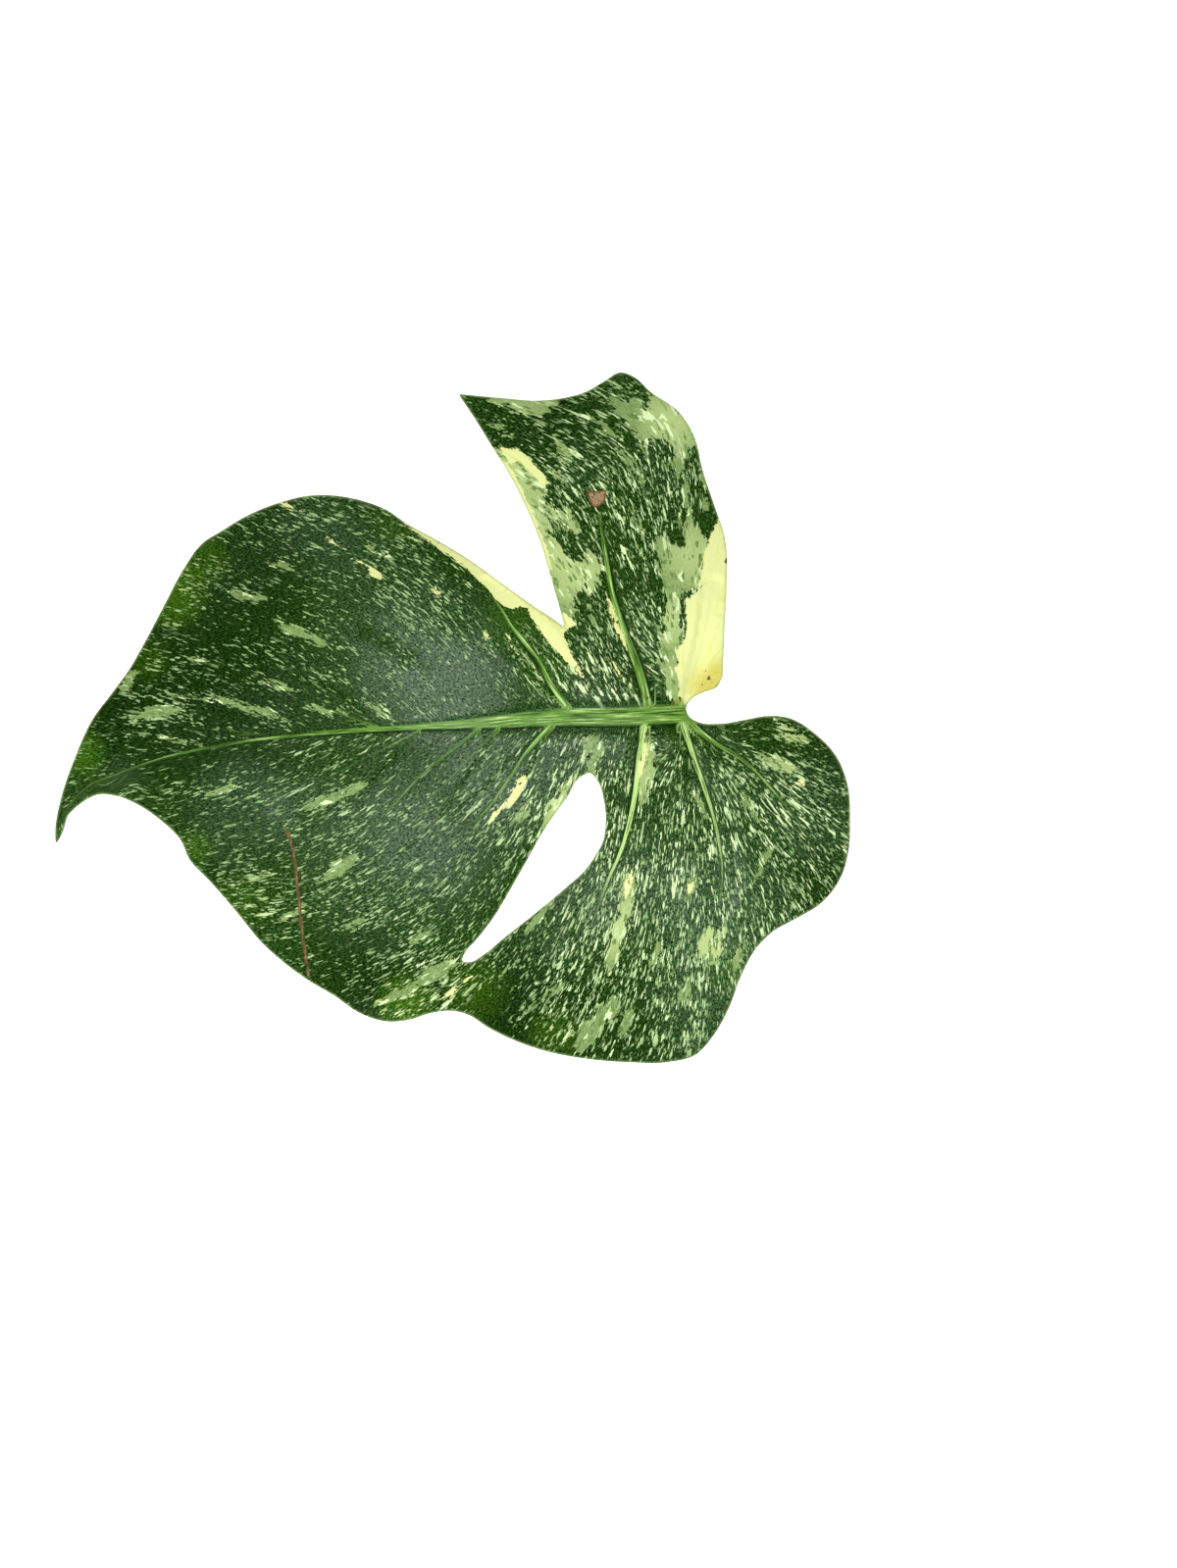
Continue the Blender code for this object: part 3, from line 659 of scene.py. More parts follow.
def boundary_edges(edges, count):
    """The directed edges that no other cell uses the other way round."""
    forward = edges[:, 0].astype(np.int64) * count + edges[:, 1]
    backward = edges[:, 1].astype(np.int64) * count + edges[:, 0]
    return edges[~np.isin(forward, backward)]


def relax(places, edges, free, rounds=4):
    """The free nodes moved towards the middle of their neighbours, a few times over."""
    degree = np.bincount(edges[:, 0], minlength=len(places))[:, None]
    for _ in range(rounds):
        total = np.zeros_like(places)
        np.add.at(total, edges[:, 0], places[edges[:, 1]])
        middle = total / np.maximum(degree, 1)
        places = np.where(free[:, None], 0.5 * places + 0.5 * middle, places)
    return places


# ---------------------------------------------------------------- the blade's fields

def rib_fields(points):
    """For each point, by its nearest rib: distance in half widths, the same across it with the side of its
    painted shadow above 0, length along it, half width there and how pale it is.

    The nearest rib is the one fewest half widths away. Within the midrib a side rib counts as up to one
    half width further, so that the midrib keeps its own band.
    """
    best = np.full(len(points), 1e9)
    outside_midrib = np.ones(len(points))
    across, along = np.zeros(len(points)), np.zeros(len(points))
    half, pale = np.ones(len(points)), np.zeros(len(points))
    ribs = [(MIDRIB_SHADOW_SIDE, MIDRIB_PALENESS, MIDRIB)] + SIDE_RIBS
    for number, (shadow_side, paleness, line) in enumerate(ribs):
        curve = smooth_curve(line, RIB_SAMPLE)
        heading = np.gradient(curve[:, :2], axis=0)
        heading /= np.linalg.norm(heading, axis=1)[:, None]
        away, k = nearest(points, curve)
        offset = points - curve[k, :2]
        past = np.abs(np.sum(offset * heading[k], axis=1))
        side = heading[k, 0] * offset[:, 1] - heading[k, 1] * offset[:, 0]
        width = curve[k, 2]
        share = away / width + 1 - outside_midrib
        if number == 0:
            outside_midrib = smooth_step(*MIDRIB_EDGE, share)
        nearer = share < best
        best = np.where(nearer, share, best)
        across = np.where(nearer, shadow_side * side / width, across)
        along = np.where(nearer, k * RIB_SAMPLE + past + RIBS_APART * number, along)
        half = np.where(nearer, width, half)
        pale = np.where(nearer, paleness, pale)
    return best, across, along, half, pale


def flow_side(table, ends, side):
    """Places along the fine veins of one side of the midrib, and each one's vein and length along it.

    A vein starts on the midrib at its own angle and turns towards the tip by its bend, in degrees, times
    the square of its length in units of 100 mm. Veins with a negative number fan out from the stalk.
    """
    centre = smooth_curve(np.array(MIDRIB)[:, :2], 1.0)
    at, angles, bends = np.array(table, float).T
    veins = np.concatenate([np.arange(at[0], 0, FAN_STEP), np.arange(0.0, MIDRIB_LENGTH, VEIN_STEP)])
    angle, bend = np.interp(veins, at, angles), np.interp(veins, at, bends)
    start = centre[np.clip(veins, 0, len(centre) - 1).astype(int)]
    step = 1.0
    length = np.arange(0.0, max(FLOW_REACH) + step, step)
    heading = np.radians(angle[:, None] + bend[:, None] * (length[None, :] / 100) ** 2)
    run = np.stack([np.cos(heading), side * np.sin(heading)], axis=-1) * step
    route = start[:, None, :] + np.cumsum(run, axis=1) - run[:, :1]
    reach = np.interp(veins, *np.array(ends, float).T)
    from_midrib = veins >= 0
    places = [start[from_midrib]]
    labels = [np.column_stack([veins[from_midrib], np.zeros(from_midrib.sum())])]
    for distance in FLOW_REACH:
        far = distance <= reach
        places.append(route[far, int(distance / step)])
        labels.append(np.column_stack([veins[far], np.full(far.sum(), side * distance)]))
    return np.vstack(places), np.vstack(labels)


def flow_coordinates(points):
    """For each point, which fine vein it is on and how far along, in millimetres, and the veins' spacing.

    Below the midrib the length counts down from 0, so the two sides meet along the midrib. The spacing is
    how many millimetres apart two veins are there that leave the midrib 1 mm apart.
    """
    centre = smooth_curve(np.array(MIDRIB)[:, :2], RIB_SAMPLE)
    heading = np.gradient(centre, axis=0)
    _, k = nearest(points, centre)
    offset = points - centre[k]
    above = heading[k, 0] * offset[:, 1] - heading[k, 1] * offset[:, 0] < 0
    coordinates = np.zeros((len(points), 2))
    spacing = np.ones(len(points))
    nudge = np.array([1.0, 0.0]), np.array([0.0, 1.0])
    sides = ((FLOW_ABOVE, FLOW_END_ABOVE, 1, above), (FLOW_BELOW, FLOW_END_BELOW, -1, ~above))
    for table, ends, side, chosen in sides:
        field = thin_plate(*flow_side(table, ends, side))
        here = field(points[chosen])
        slope = [field(points[chosen] + shift)[:, 0] - here[:, 0] for shift in nudge]
        coordinates[chosen] = here
        spacing[chosen] = 1 / np.maximum(np.hypot(*slope), 1e-3)
    return coordinates, spacing


def flow_maps(coordinates, spacing):
    """Two ways to count the veins at each point, and how much the second one counts.

    Veins spread apart as they run out. The first map therefore counts them in steps of 1, 4 or 16 times
    their spacing, and the second in steps of 2, 8 or 32, whichever is nearest. Where a map changes its
    step, its share is 0, so that the change can't be seen.
    """
    level = np.log2(np.clip(spacing, *SPACING_LIMITS))
    even = 2 * np.round(level / 2)
    odd = 2 * np.floor(level / 2) + 1
    first = coordinates * np.column_stack([2.0 ** even, np.ones(len(even))])
    second = coordinates * np.column_stack([2.0 ** odd, np.ones(len(odd))])
    return first, second, np.abs(level - even)


def depth_inside(points, polygon):
    """How deep each point is inside a polygon, and negative outside it."""
    corners = np.array(polygon, float)
    least = np.full(len(points), 1e9)
    for start, end in zip(corners, np.roll(corners, -1, axis=0)):
        run = end - start
        share = np.clip(((points - start) @ run) / (run @ run), 0.0, 1.0)
        least = np.minimum(least, np.linalg.norm(points - start - share[:, None] * run, axis=1))
    return np.where(is_inside(points, corners), least, -least)


def depth_in_splash(points, splash):
    """How deep each point is inside a splash: a line that is wide in the middle and thin at its ends."""
    start, end, width = np.array(splash[:2]), np.array(splash[2:4]), splash[4]
    run = end - start
    share = np.clip(((points - start) @ run) / (run @ run), 0.0, 1.0)
    away = np.linalg.norm(points - start - share[:, None] * run, axis=1)
    return width * (0.5 - 0.3 * (2 * share - 1) ** 2) - away


def deepest(points, depth, shapes):
    """The greatest of the depths in several shapes, and far from them all a depth that means outside."""
    best = np.full(len(points), OUTSIDE_DEPTH)
    for shape in shapes:
        best = np.maximum(best, depth(points, shape))
    return best


def soft_patches(points, patches):
    """The sum of round patches, each fading from its strength to nothing at its radius, kept from 0 to 1."""
    total = np.zeros(len(points))
    for x, y, radius, strength in patches:
        away = np.hypot(points[:, 0] - x, points[:, 1] - y) / radius
        total += strength * np.clip(1 - away ** 2, 0.0, None)
    return np.clip(total, 0.0, 1.0)


def damage_depth(points):
    """How deep each point is inside dead tissue: the large spot, the dots and the scar's line."""
    depth = np.maximum(depth_inside(points, BROWN_SPOT) * SPOT_CRISPNESS, OUTSIDE_DEPTH)
    for x, y, radius in BROWN_DOTS:
        depth = np.maximum(depth, radius - np.hypot(points[:, 0] - x, points[:, 1] - y))
    away, _ = nearest(points, smooth_curve(SCAR, 0.4))
    return np.maximum(depth, SCAR_CRISPNESS * (SCAR_WIDTH / 2 - away))


def fold_drop(points):
    """How far the folded corner drops: in proportion to the distance beyond the fold's line, up to a width,
    and only on the corner's side of the midrib's head."""
    start, end = np.array(FOLD, float)
    run = (end - start) / np.linalg.norm(end - start)
    beyond = (points[:, 0] - start[0]) * run[1] - (points[:, 1] - start[1]) * run[0]
    drop = FOLD_DROP * np.clip(beyond, 0.0, FOLD_WIDTH)
    return drop * smooth_step(4.0, 8.0, points[:, 1]) * smooth_step(86.0, 89.0, points[:, 0])


def blade_surface(points, shape, ribs, flow, edge):
    """The heights of the upper and lower face over each point.

    The upper face is the general height, plus a pillow between ribs, a groove with raised shoulders along
    each rib, a crown inside the wide ribs, ripples along the fine veins and a margin that turns down. It
    lands softly: a height below 0 becomes half of itself plus half the root of its square and a little
    more. The lower face is one sheet below it, and bulges round under each rib.
    """
    away, _, _, half, _ = ribs
    reach = away * half
    groove = GROOVE_SHARE * half ** 0.9 * (1 - smooth_step(0.6, 1.9, away))
    crown = CROWN_SHARE * half * np.clip(1 - away ** 2, 0.0, None) * smooth_step(0.8, 1.6, half)
    shoulder = SHOULDER_SHARE * half ** 0.8 * np.exp(-(away - SHOULDER_PLACE) ** 2)
    pillow = shape.pillow / MM * (1 - np.exp(-(reach / PILLOW_REACH) ** 2))
    wave = np.cos(2 * np.pi * flow[:, 0] / (shape.ripple_length / MM))
    ripple = shape.ripple / MM * wave * smooth_step(1.5, 5.0, away)
    turned = TURNED_DROP * np.exp(-(edge / TURNED_WIDTH) ** 2)
    sheet = shape.sheet / MM
    lowered = turned + fold_drop(points) + groove + sheet
    skin = sheet_heights(points) + pillow + ripple + shoulder - lowered
    landed = 0.5 * (skin + np.sqrt(skin ** 2 + SOFT_LANDING ** 2)) - LANDING_DROP
    body = sheet + np.maximum(landed, 0.0)
    swelling = SWELLING_SHARE * half * np.sqrt(np.clip(1 - (away / SWELLING_WIDTH) ** 2, 0.0, None))
    return body + crown, np.maximum(body - sheet - swelling, 0.0)


# ---------------------------------------------------------------- meshes

def new_mesh(name, places, faces):
    """A mesh object from places in millimetres and lists of faces."""
    mesh = bpy.data.meshes.new(name)
    mesh.from_pydata((places * MM).tolist(), [], faces)
    mesh.validate()
    mesh.shade_smooth()
    piece = bpy.data.objects.new(name, mesh)
    bpy.context.scene.collection.objects.link(piece)
    return piece


def add_field(mesh, name, values):
    """A number for each of the mesh's points."""
    attribute = mesh.attributes.new(name, "FLOAT", "POINT")
    attribute.data.foreach_set("value", np.ascontiguousarray(values, np.float32))


def add_map(mesh, name, values):
    """A pair of coordinates for each of the mesh's points, as a UV map."""
    layer = mesh.uv_layers.new(name=name)
    corner = np.zeros(len(mesh.loops), np.int32)
    mesh.loops.foreach_get("vertex_index", corner)
    layer.uv.foreach_set("vector", np.ascontiguousarray(values[corner], np.float32).ravel())


def blade_mesh(places, squares, triangles, rim, upper, lower):
    """The blade's mesh, and the numbers of the nodes on its outline.

    Both faces lie over the same grid. Between them runs one row of points, halfway up and a little further
    out than the outline's nodes, which rounds the margin.
    """
    count = len(places)
    run = places[rim[:, 1]] - places[rim[:, 0]]
    outward = np.zeros_like(places)
    for k in (0, 1):
        np.add.at(outward, rim[:, k], np.column_stack([run[:, 1], -run[:, 0]]))
    outline = np.unique(rim)
    outward = outward[outline] / np.linalg.norm(outward[outline], axis=1)[:, None]
    thickness = (upper - lower)[outline]
    bulge = places[outline] + outward * np.minimum(RIM_SHARE * thickness, RIM_BULGE)[:, None]
    middle = np.column_stack([bulge, 0.5 * (upper + lower)[outline]])
    points = np.vstack([np.column_stack([places, upper]), np.column_stack([places, lower]), middle])
    number = np.zeros(count, int)
    number[outline] = np.arange(len(outline)) + 2 * count
    first, second = rim[:, 0], rim[:, 1]
    faces = [
        squares,
        triangles,
        squares[:, ::-1] + count,
        triangles[:, ::-1] + count,
        np.column_stack([first, number[first], number[second], second]),
        np.column_stack([number[first], first + count, second + count, number[second]]),
    ]
    rows = [row for block in faces for row in block.tolist()]
    return new_mesh("leaf_blade_finished", points, rows), outline


def blade_fields(places, edge, ribs):
    """The numbers that the blade's material reads, by name, for each node of the grid."""
    away, _, _, half, paleness = ribs
    return {
        "cream": deepest(places, depth_inside, CREAM_SECTORS),
        "cream_splash": deepest(places, depth_in_splash, CREAM_SPLASHES),
        "sage": deepest(places, depth_inside, SAGE_SECTORS),
        "sage_splash": deepest(places, depth_in_splash, SAGE_SPLASHES),
        "speckled": soft_patches(places, SPECKLED),
        "lime": soft_patches(places, LIME),
        "shaded": soft_patches(places, SHADED),
        "pale": soft_patches(places, PALE),
        "fold_shade": soft_patches(places, FOLD_SHADE_PATCHES),
        "wax_and_sheen": soft_patches(places, WAX_AND_SHEEN),
        "damage": damage_depth(places),
        "rib_away": np.minimum(away, FARTHEST_RIB),
        "rib_half": half,
        "rib_pale": paleness,
        "edge": np.minimum(edge, FARTHEST_EDGE),
    }


def make_blade(shape):
    """The blade: an upper face, a lower face over the same grid, and a rounded rim between them."""
    step = shape.grid / MM
    places, squares, triangles, free = cut_grid(step)
    edges = directed_edges(squares, triangles)
    both_ways = np.vstack([edges, edges[:, ::-1]])
    places = relax(places, both_ways, free)
    rim = boundary_edges(edges, len(places))
    edge, _ = nearest(places, np.vstack(margin_loops(EDGE_SAMPLE)))
    edge[rim.ravel()] = 0.0
    ribs = rib_fields(places)
    flow, spacing = flow_coordinates(places)
    upper, lower = blade_surface(places, shape, ribs, flow, edge)
    blade, outline = blade_mesh(places, squares, triangles, rim, upper, lower)
    mesh = blade.data

    def everywhere(values):
        """Values for the upper face's nodes, given to the lower face's and the rim's as well."""
        return np.concatenate([values, values, values[outline]])

    for name, values in blade_fields(places, edge, ribs).items():
        add_field(mesh, name, everywhere(values))
    count = len(places)
    under = np.concatenate([np.zeros(count), np.ones(count), np.full(len(outline), 0.5)])
    add_field(mesh, "under", under)
    first, second, share = flow_maps(flow, spacing)
    add_map(mesh, "flow_first", everywhere(first))
    add_map(mesh, "flow_second", everywhere(second))
    add_field(mesh, "flow_share", everywhere(share))
    _, across, along, _, _ = ribs
    add_map(mesh, "rib", everywhere(np.column_stack([across, along])))
    return blade


def stalk_skin():
    """The stalk's route, its direction there, its length so far, how much of the knee's wrinkles it has,
    the turn of each of its sides, and the radius at each of them.

    The radius follows the route, dips by a shallow channel along one side, and in the knee rises and falls
    with fine ring-shaped wrinkles.
    """
    route = smooth_curve(STALK_ROUTE, STALK_STEP)
    heading = np.gradient(route, axis=0)
    heading /= np.linalg.norm(heading, axis=1)[:, None]
    length = np.arange(len(route)) * STALK_STEP
    share = np.linspace(0, 1, len(route))
    radius = np.interp(share, np.linspace(0, 1, len(STALK_RADII)), STALK_RADII)
    knee = 1 - smooth_step(0.6 * KNEE_LENGTH, KNEE_LENGTH, length)
    turn = np.linspace(0, 2 * np.pi, STALK_SIDES, endpoint=False)
    phase = 2 * np.pi * length[:, None] / KNEE_WRINKLE + 1.5 * np.sin(2 * turn[None, :] + 0.4)
    wrinkle = WRINKLE_DEPTH * knee[:, None] * (0.5 + 0.5 * np.cos(phase)) ** 3
    ridges = RIDGE_HEIGHT * np.cos(RIDGE_COUNT * turn)
    channel = CHANNEL_DEPTH * np.exp(-((turn - np.pi / 2) / CHANNEL_WIDTH) ** 2)
    return route, heading, length, knee, turn, radius[:, None] - wrinkle + ridges - channel


def make_stalk():
    """The stalk: a circle carried along its route, with a flat head and a cut end, a little hollow."""
    route, heading, length, knee, turn, out = stalk_skin()
    sideways = np.cross(heading, [0.0, 1.0, 0.0])
    sideways /= np.linalg.norm(sideways, axis=1)[:, None]
    across = np.cross(heading, sideways)
    circle = np.column_stack([np.cos(turn), np.sin(turn)])
    ring = np.einsum("sk,rkc->rsc", circle, np.stack([sideways, across], axis=1))
    skin = route[:, None, :] + out[..., None] * ring
    inset, depth = np.array(CUT_INSETS)[:, None], np.array(CUT_DEPTHS)[:, None, None]
    cut = route[-1] + ring[-1] * (out[-1] * inset)[..., None] - heading[-1] * depth
    rows = np.concatenate([skin, cut])
    rows[..., 2] = np.maximum(rows[..., 2], 0.0)
    sides, count = STALK_SIDES, len(rows)
    head, heart = route[0], route[-1] - heading[-1] * CUT_HEART
    points = np.vstack([rows.reshape(-1, 3), head, heart])
    number = np.arange(count * sides).reshape(count, sides)
    after = np.roll(number, -1, axis=1)
    walls = np.stack([number[:-1], number[1:], after[1:], after[:-1]], axis=-1).reshape(-1, 4)
    first = np.column_stack([number[0], after[0], np.full(sides, count * sides)])
    last = np.column_stack([after[-1], number[-1], np.full(sides, count * sides + 1)])
    stalk = new_mesh("petiole_finished", points, walls.tolist() + first.tolist() + last.tolist())
    mesh = stalk.data

    def per_point(on_skin, on_cut, at_head, at_heart):
        """A value for each ring of the skin, one for the cut's rings, and one for each end's middle."""
        by_ring = np.concatenate([on_skin, np.full(len(inset), on_cut)])
        return np.concatenate([np.repeat(by_ring, sides), [at_head, at_heart]])

    around = np.concatenate([np.tile(turn / (2 * np.pi) * LINES_AROUND, count), [0.0, 0.0]])
    add_map(mesh, "flow", np.column_stack([around, per_point(length, length[-1], 0.0, length[-1])]))
    add_field(mesh, "cut", per_point(np.zeros(len(route)), 1.0, 0.0, 1.0))
    add_field(mesh, "knee", per_point(knee, 0.0, 1.0, 0.0))
    mesh.set_sharp_from_angle(angle=math.radians(SHARP_ANGLE))
    return stalk


# ---------------------------------------------------------------- materials

def is_socket(value):
    """Whether a value comes from another node."""
    return isinstance(value, bpy.types.NodeSocket)


class Wiring:
    """Short ways to add nodes to one node tree. A value is a number, a colour or another node's socket."""

    def __init__(self, tree):
        self.tree = tree

    def node(self, kind, values=None, **settings):
        """A node with its settings, and its inputs by name or number."""
        made = self.tree.nodes.new(kind)
        for name, value in settings.items():
            setattr(made, name, value)
        for key, value in (values or {}).items():
            if is_socket(value):
                self.link(value, made.inputs[key])
            else:
                made.inputs[key].default_value = value
        return made

    def math(self, operation, *values):
        """A sum, product or other arithmetic of up to three values."""
        return self.node("ShaderNodeMath", dict(enumerate(values)), operation=operation).outputs[0]

    def mask(self, value, low, high):
        """0 at low, 1 at high, with a smooth rise."""
        made = self.node("ShaderNodeMapRange", {"Value": value, "From Min": low, "From Max": high},
                         interpolation_type="SMOOTHSTEP")
        return made.outputs["Result"]

    def mix(self, share, first, second, blend="MIX"):
        """Two colours mixed by a share."""
        ends = [colour if is_socket(colour) else (*colour, 1.0) for colour in (first, second)]
        made = self.node("ShaderNodeMix", {0: share, 6: ends[0], 7: ends[1]}, data_type="RGBA",
                         blend_type=blend)
        return made.outputs[2]

    def field(self, name):
        """A number that the mesh carries."""
        return self.node("ShaderNodeAttribute", attribute_name=name).outputs["Fac"]

    def map(self, name):
        """A UV map of the mesh, as coordinates in millimetres."""
        return self.node("ShaderNodeUVMap", uv_map=name).outputs["UV"]

    def group(self, tree, values):
        """A shared group with its inputs."""
        return self.node("ShaderNodeGroup", values, node_tree=tree)

    def link(self, source, target):
        """Feeds one node's socket to another's."""
        self.tree.links.new(source, target)


def new_group(name, inputs, outputs):
    """An empty shader group with named sockets, its wiring, and its two end nodes."""
    tree = bpy.data.node_groups.new(name, "ShaderNodeTree")
    for label, kind in inputs:
        tree.interface.new_socket(label, in_out="INPUT", socket_type=kind)
    for label, kind in outputs:
        tree.interface.new_socket(label, in_out="OUTPUT", socket_type=kind)
    wiring = Wiring(tree)
    return tree, wiring, wiring.node("NodeGroupInput"), wiring.node("NodeGroupOutput")


def vein_inputs():
    """The inputs of a group that follows the veins: two maps, the second one's share, and lengths."""
    number, vector = "NodeSocketFloat", "NodeSocketVector"
    return [("First", vector), ("Second", vector), ("Share", number), ("Across", number), ("Along", number),
            ("Place", number)]


def drawn_out(wiring, given, name):
    """One map's coordinates divided by the pattern's two lengths, and moved to its own place."""
    parts = wiring.node("ShaderNodeSeparateXYZ", {0: given.outputs[name]})
    across = wiring.math("DIVIDE", parts.outputs[0], given.outputs["Across"])
    along = wiring.math("DIVIDE", parts.outputs[1], given.outputs["Along"])
    return wiring.node("ShaderNodeCombineXYZ", {0: across, 1: along, 2: given.outputs["Place"]}).outputs[0]


def streak_group():
    """Soft streaks along the veins: noise from both maps, mixed by their shares.

    Mixing evens the noise out, so its distance from a half is then divided by the root of the sum of the
    two shares' squares.
    """
    tree, wiring, given, result = new_group("soft_streaks", vein_inputs(), [("Field", "NodeSocketFloat")])
    share = given.outputs["Share"]
    rest = wiring.math("SUBTRACT", 1.0, share)
    total = 0.0
    for name, part in (("First", rest), ("Second", share)):
        noise = wiring.node("ShaderNodeTexNoise", {
            "Vector": drawn_out(wiring, given, name), "Scale": 1.0, "Detail": 3.0, "Roughness": 0.6,
        }).outputs["Fac"]
        total = wiring.math("MULTIPLY_ADD", wiring.math("SUBTRACT", noise, 0.5), part, total)
    squares = wiring.math("MULTIPLY_ADD", share, share, wiring.math("MULTIPLY", rest, rest))
    even = wiring.math("DIVIDE", total, wiring.math("SQRT", squares))
    wiring.link(wiring.math("ADD", even, 0.5), result.inputs["Field"])
    return tree


def flake_group():
    """Torn flakes along the veins: irregular cells, each with a rank from 0 to 1 and a tone.

    A pattern keeps the cells whose rank is above 1 less its density. The rank in a map is 1 less the
    cell's own remainder divided by the map's share, so that each map gives its share of the flakes.
    """
    outputs = [("Rank", "NodeSocketFloat"), ("Tone", "NodeSocketFloat")]
    tree, wiring, given, result = new_group("torn_flakes", vein_inputs(), outputs)
    share = given.outputs["Share"]
    ranks, tones = [], []
    for name, part in (("First", wiring.math("SUBTRACT", 1.0, share)), ("Second", share)):
        place = drawn_out(wiring, given, name)
        noise = wiring.node("ShaderNodeTexNoise", {"Vector": place, "Scale": 1.6, "Detail": 3.0})
        shift = wiring.node("ShaderNodeVectorMath", {0: noise.outputs["Color"], 1: (0.5, 0.5, 0.5)},
                            operation="SUBTRACT").outputs[0]
        place = wiring.node("ShaderNodeVectorMath", {0: shift, 1: (1.0, 2.0, 0.0), 2: place},
                            operation="MULTIPLY_ADD").outputs[0]
        cells = wiring.node("ShaderNodeTexVoronoi", {"Vector": place, "Scale": 1.0}).outputs["Color"]
        random = wiring.node("ShaderNodeSeparateColor", {0: cells})
        rest = wiring.math("DIVIDE", wiring.math("SUBTRACT", 1.0, random.outputs[0]),
                           wiring.math("MAXIMUM", part, 0.001))
        ranks.append(wiring.math("SUBTRACT", 1.0, rest))
        tones.append(random.outputs[1])
    second_wins = wiring.math("GREATER_THAN", ranks[1], ranks[0])
    rank = wiring.math("MAXIMUM", wiring.math("MAXIMUM", ranks[0], ranks[1]), 0.0)
    tone = wiring.node("ShaderNodeMix", {0: second_wins, 2: tones[0], 3: tones[1]}).outputs[0]
    wiring.link(rank, result.inputs["Rank"])
    wiring.link(tone, result.inputs["Tone"])
    return tree


def skin_group(streaks):
    """Plant skin: a waxy roughness that varies with the streaks, and the height of its fine grain."""
    number, vector = "NodeSocketFloat", "NodeSocketVector"
    tree, wiring, given, result = new_group(
        "plant_skin",
        [("First", vector), ("Second", vector), ("Share", number), ("Gloss", number), ("Grain", number)],
        [("Roughness", number), ("Height", number)],
    )
    maps = {name: given.outputs[name] for name in ("First", "Second", "Share")}
    coarse = wiring.group(streaks, {**maps, "Across": 2.2, "Along": 9.0, "Place": 61.0}).outputs[0]
    fine = wiring.group(streaks, {**maps, "Across": 0.55, "Along": 0.8, "Place": 71.0}).outputs[0]
    spread = wiring.math("MULTIPLY_ADD", coarse, 0.3, -0.15)
    height = wiring.math("MULTIPLY", wiring.math("MULTIPLY_ADD", coarse, 0.5, fine), given.outputs["Grain"])
    wiring.link(wiring.math("ADD", given.outputs["Gloss"], spread), result.inputs["Roughness"])
    wiring.link(height, result.inputs["Height"])
    return tree


def shared_group(name, make):
    """The group of that name, made the first time it is asked for."""
    return bpy.data.node_groups.get(name) or make()


def new_material(name):
    """A material with a Principled shader and nothing else, with its wiring and shader."""
    material = bpy.data.materials.new(name)
    material.use_nodes = True
    return material, Wiring(material.node_tree), material.node_tree.nodes["Principled BSDF"]


class VeinPatterns:
    """The shared patterns in one material, all following the same veins.

    Each use of a pattern has a place of its own in the noise, so that no two of them line up.
    """

    def __init__(self, wiring, first, second=None, share=0.0):
        self.wiring = wiring
        self.maps = {"First": first, "Second": second or first, "Share": share}
        self.streaks = shared_group("soft_streaks", streak_group)
        self.torn = shared_group("torn_flakes", flake_group)
        self.skin = shared_group("plant_skin", lambda: skin_group(self.streaks))

    def streak(self, across, along, place):
        """Soft noise, with its lengths in millimetres."""
        values = {**self.maps, "Across": across, "Along": along, "Place": place}
        return self.wiring.group(self.streaks, values).outputs[0]

    def flakes(self, across, along, place):
        """Rank and tone of torn flakes, with their lengths in millimetres."""
        values = {**self.maps, "Across": across, "Along": along, "Place": place}
        return self.wiring.group(self.torn, values).outputs

    def surface(self, gloss, grain):
        """Roughness and height of the skin."""
        return self.wiring.group(self.skin, {**self.maps, "Gloss": gloss, "Grain": grain}).outputs


def add_flakes(wiring, flakes, colour, density, low, high):
    """Flakes of a given density over a colour, each with its own tone between the low and high colours."""
    rank, tone = flakes
    limit = wiring.math("SUBTRACT", 1.0, density)
    shown = wiring.mask(wiring.math("SUBTRACT", rank, limit), -0.02, 0.02)
    return wiring.mix(shown, colour, wiring.mix(wiring.mask(tone, 0.0, 0.8), low, high))


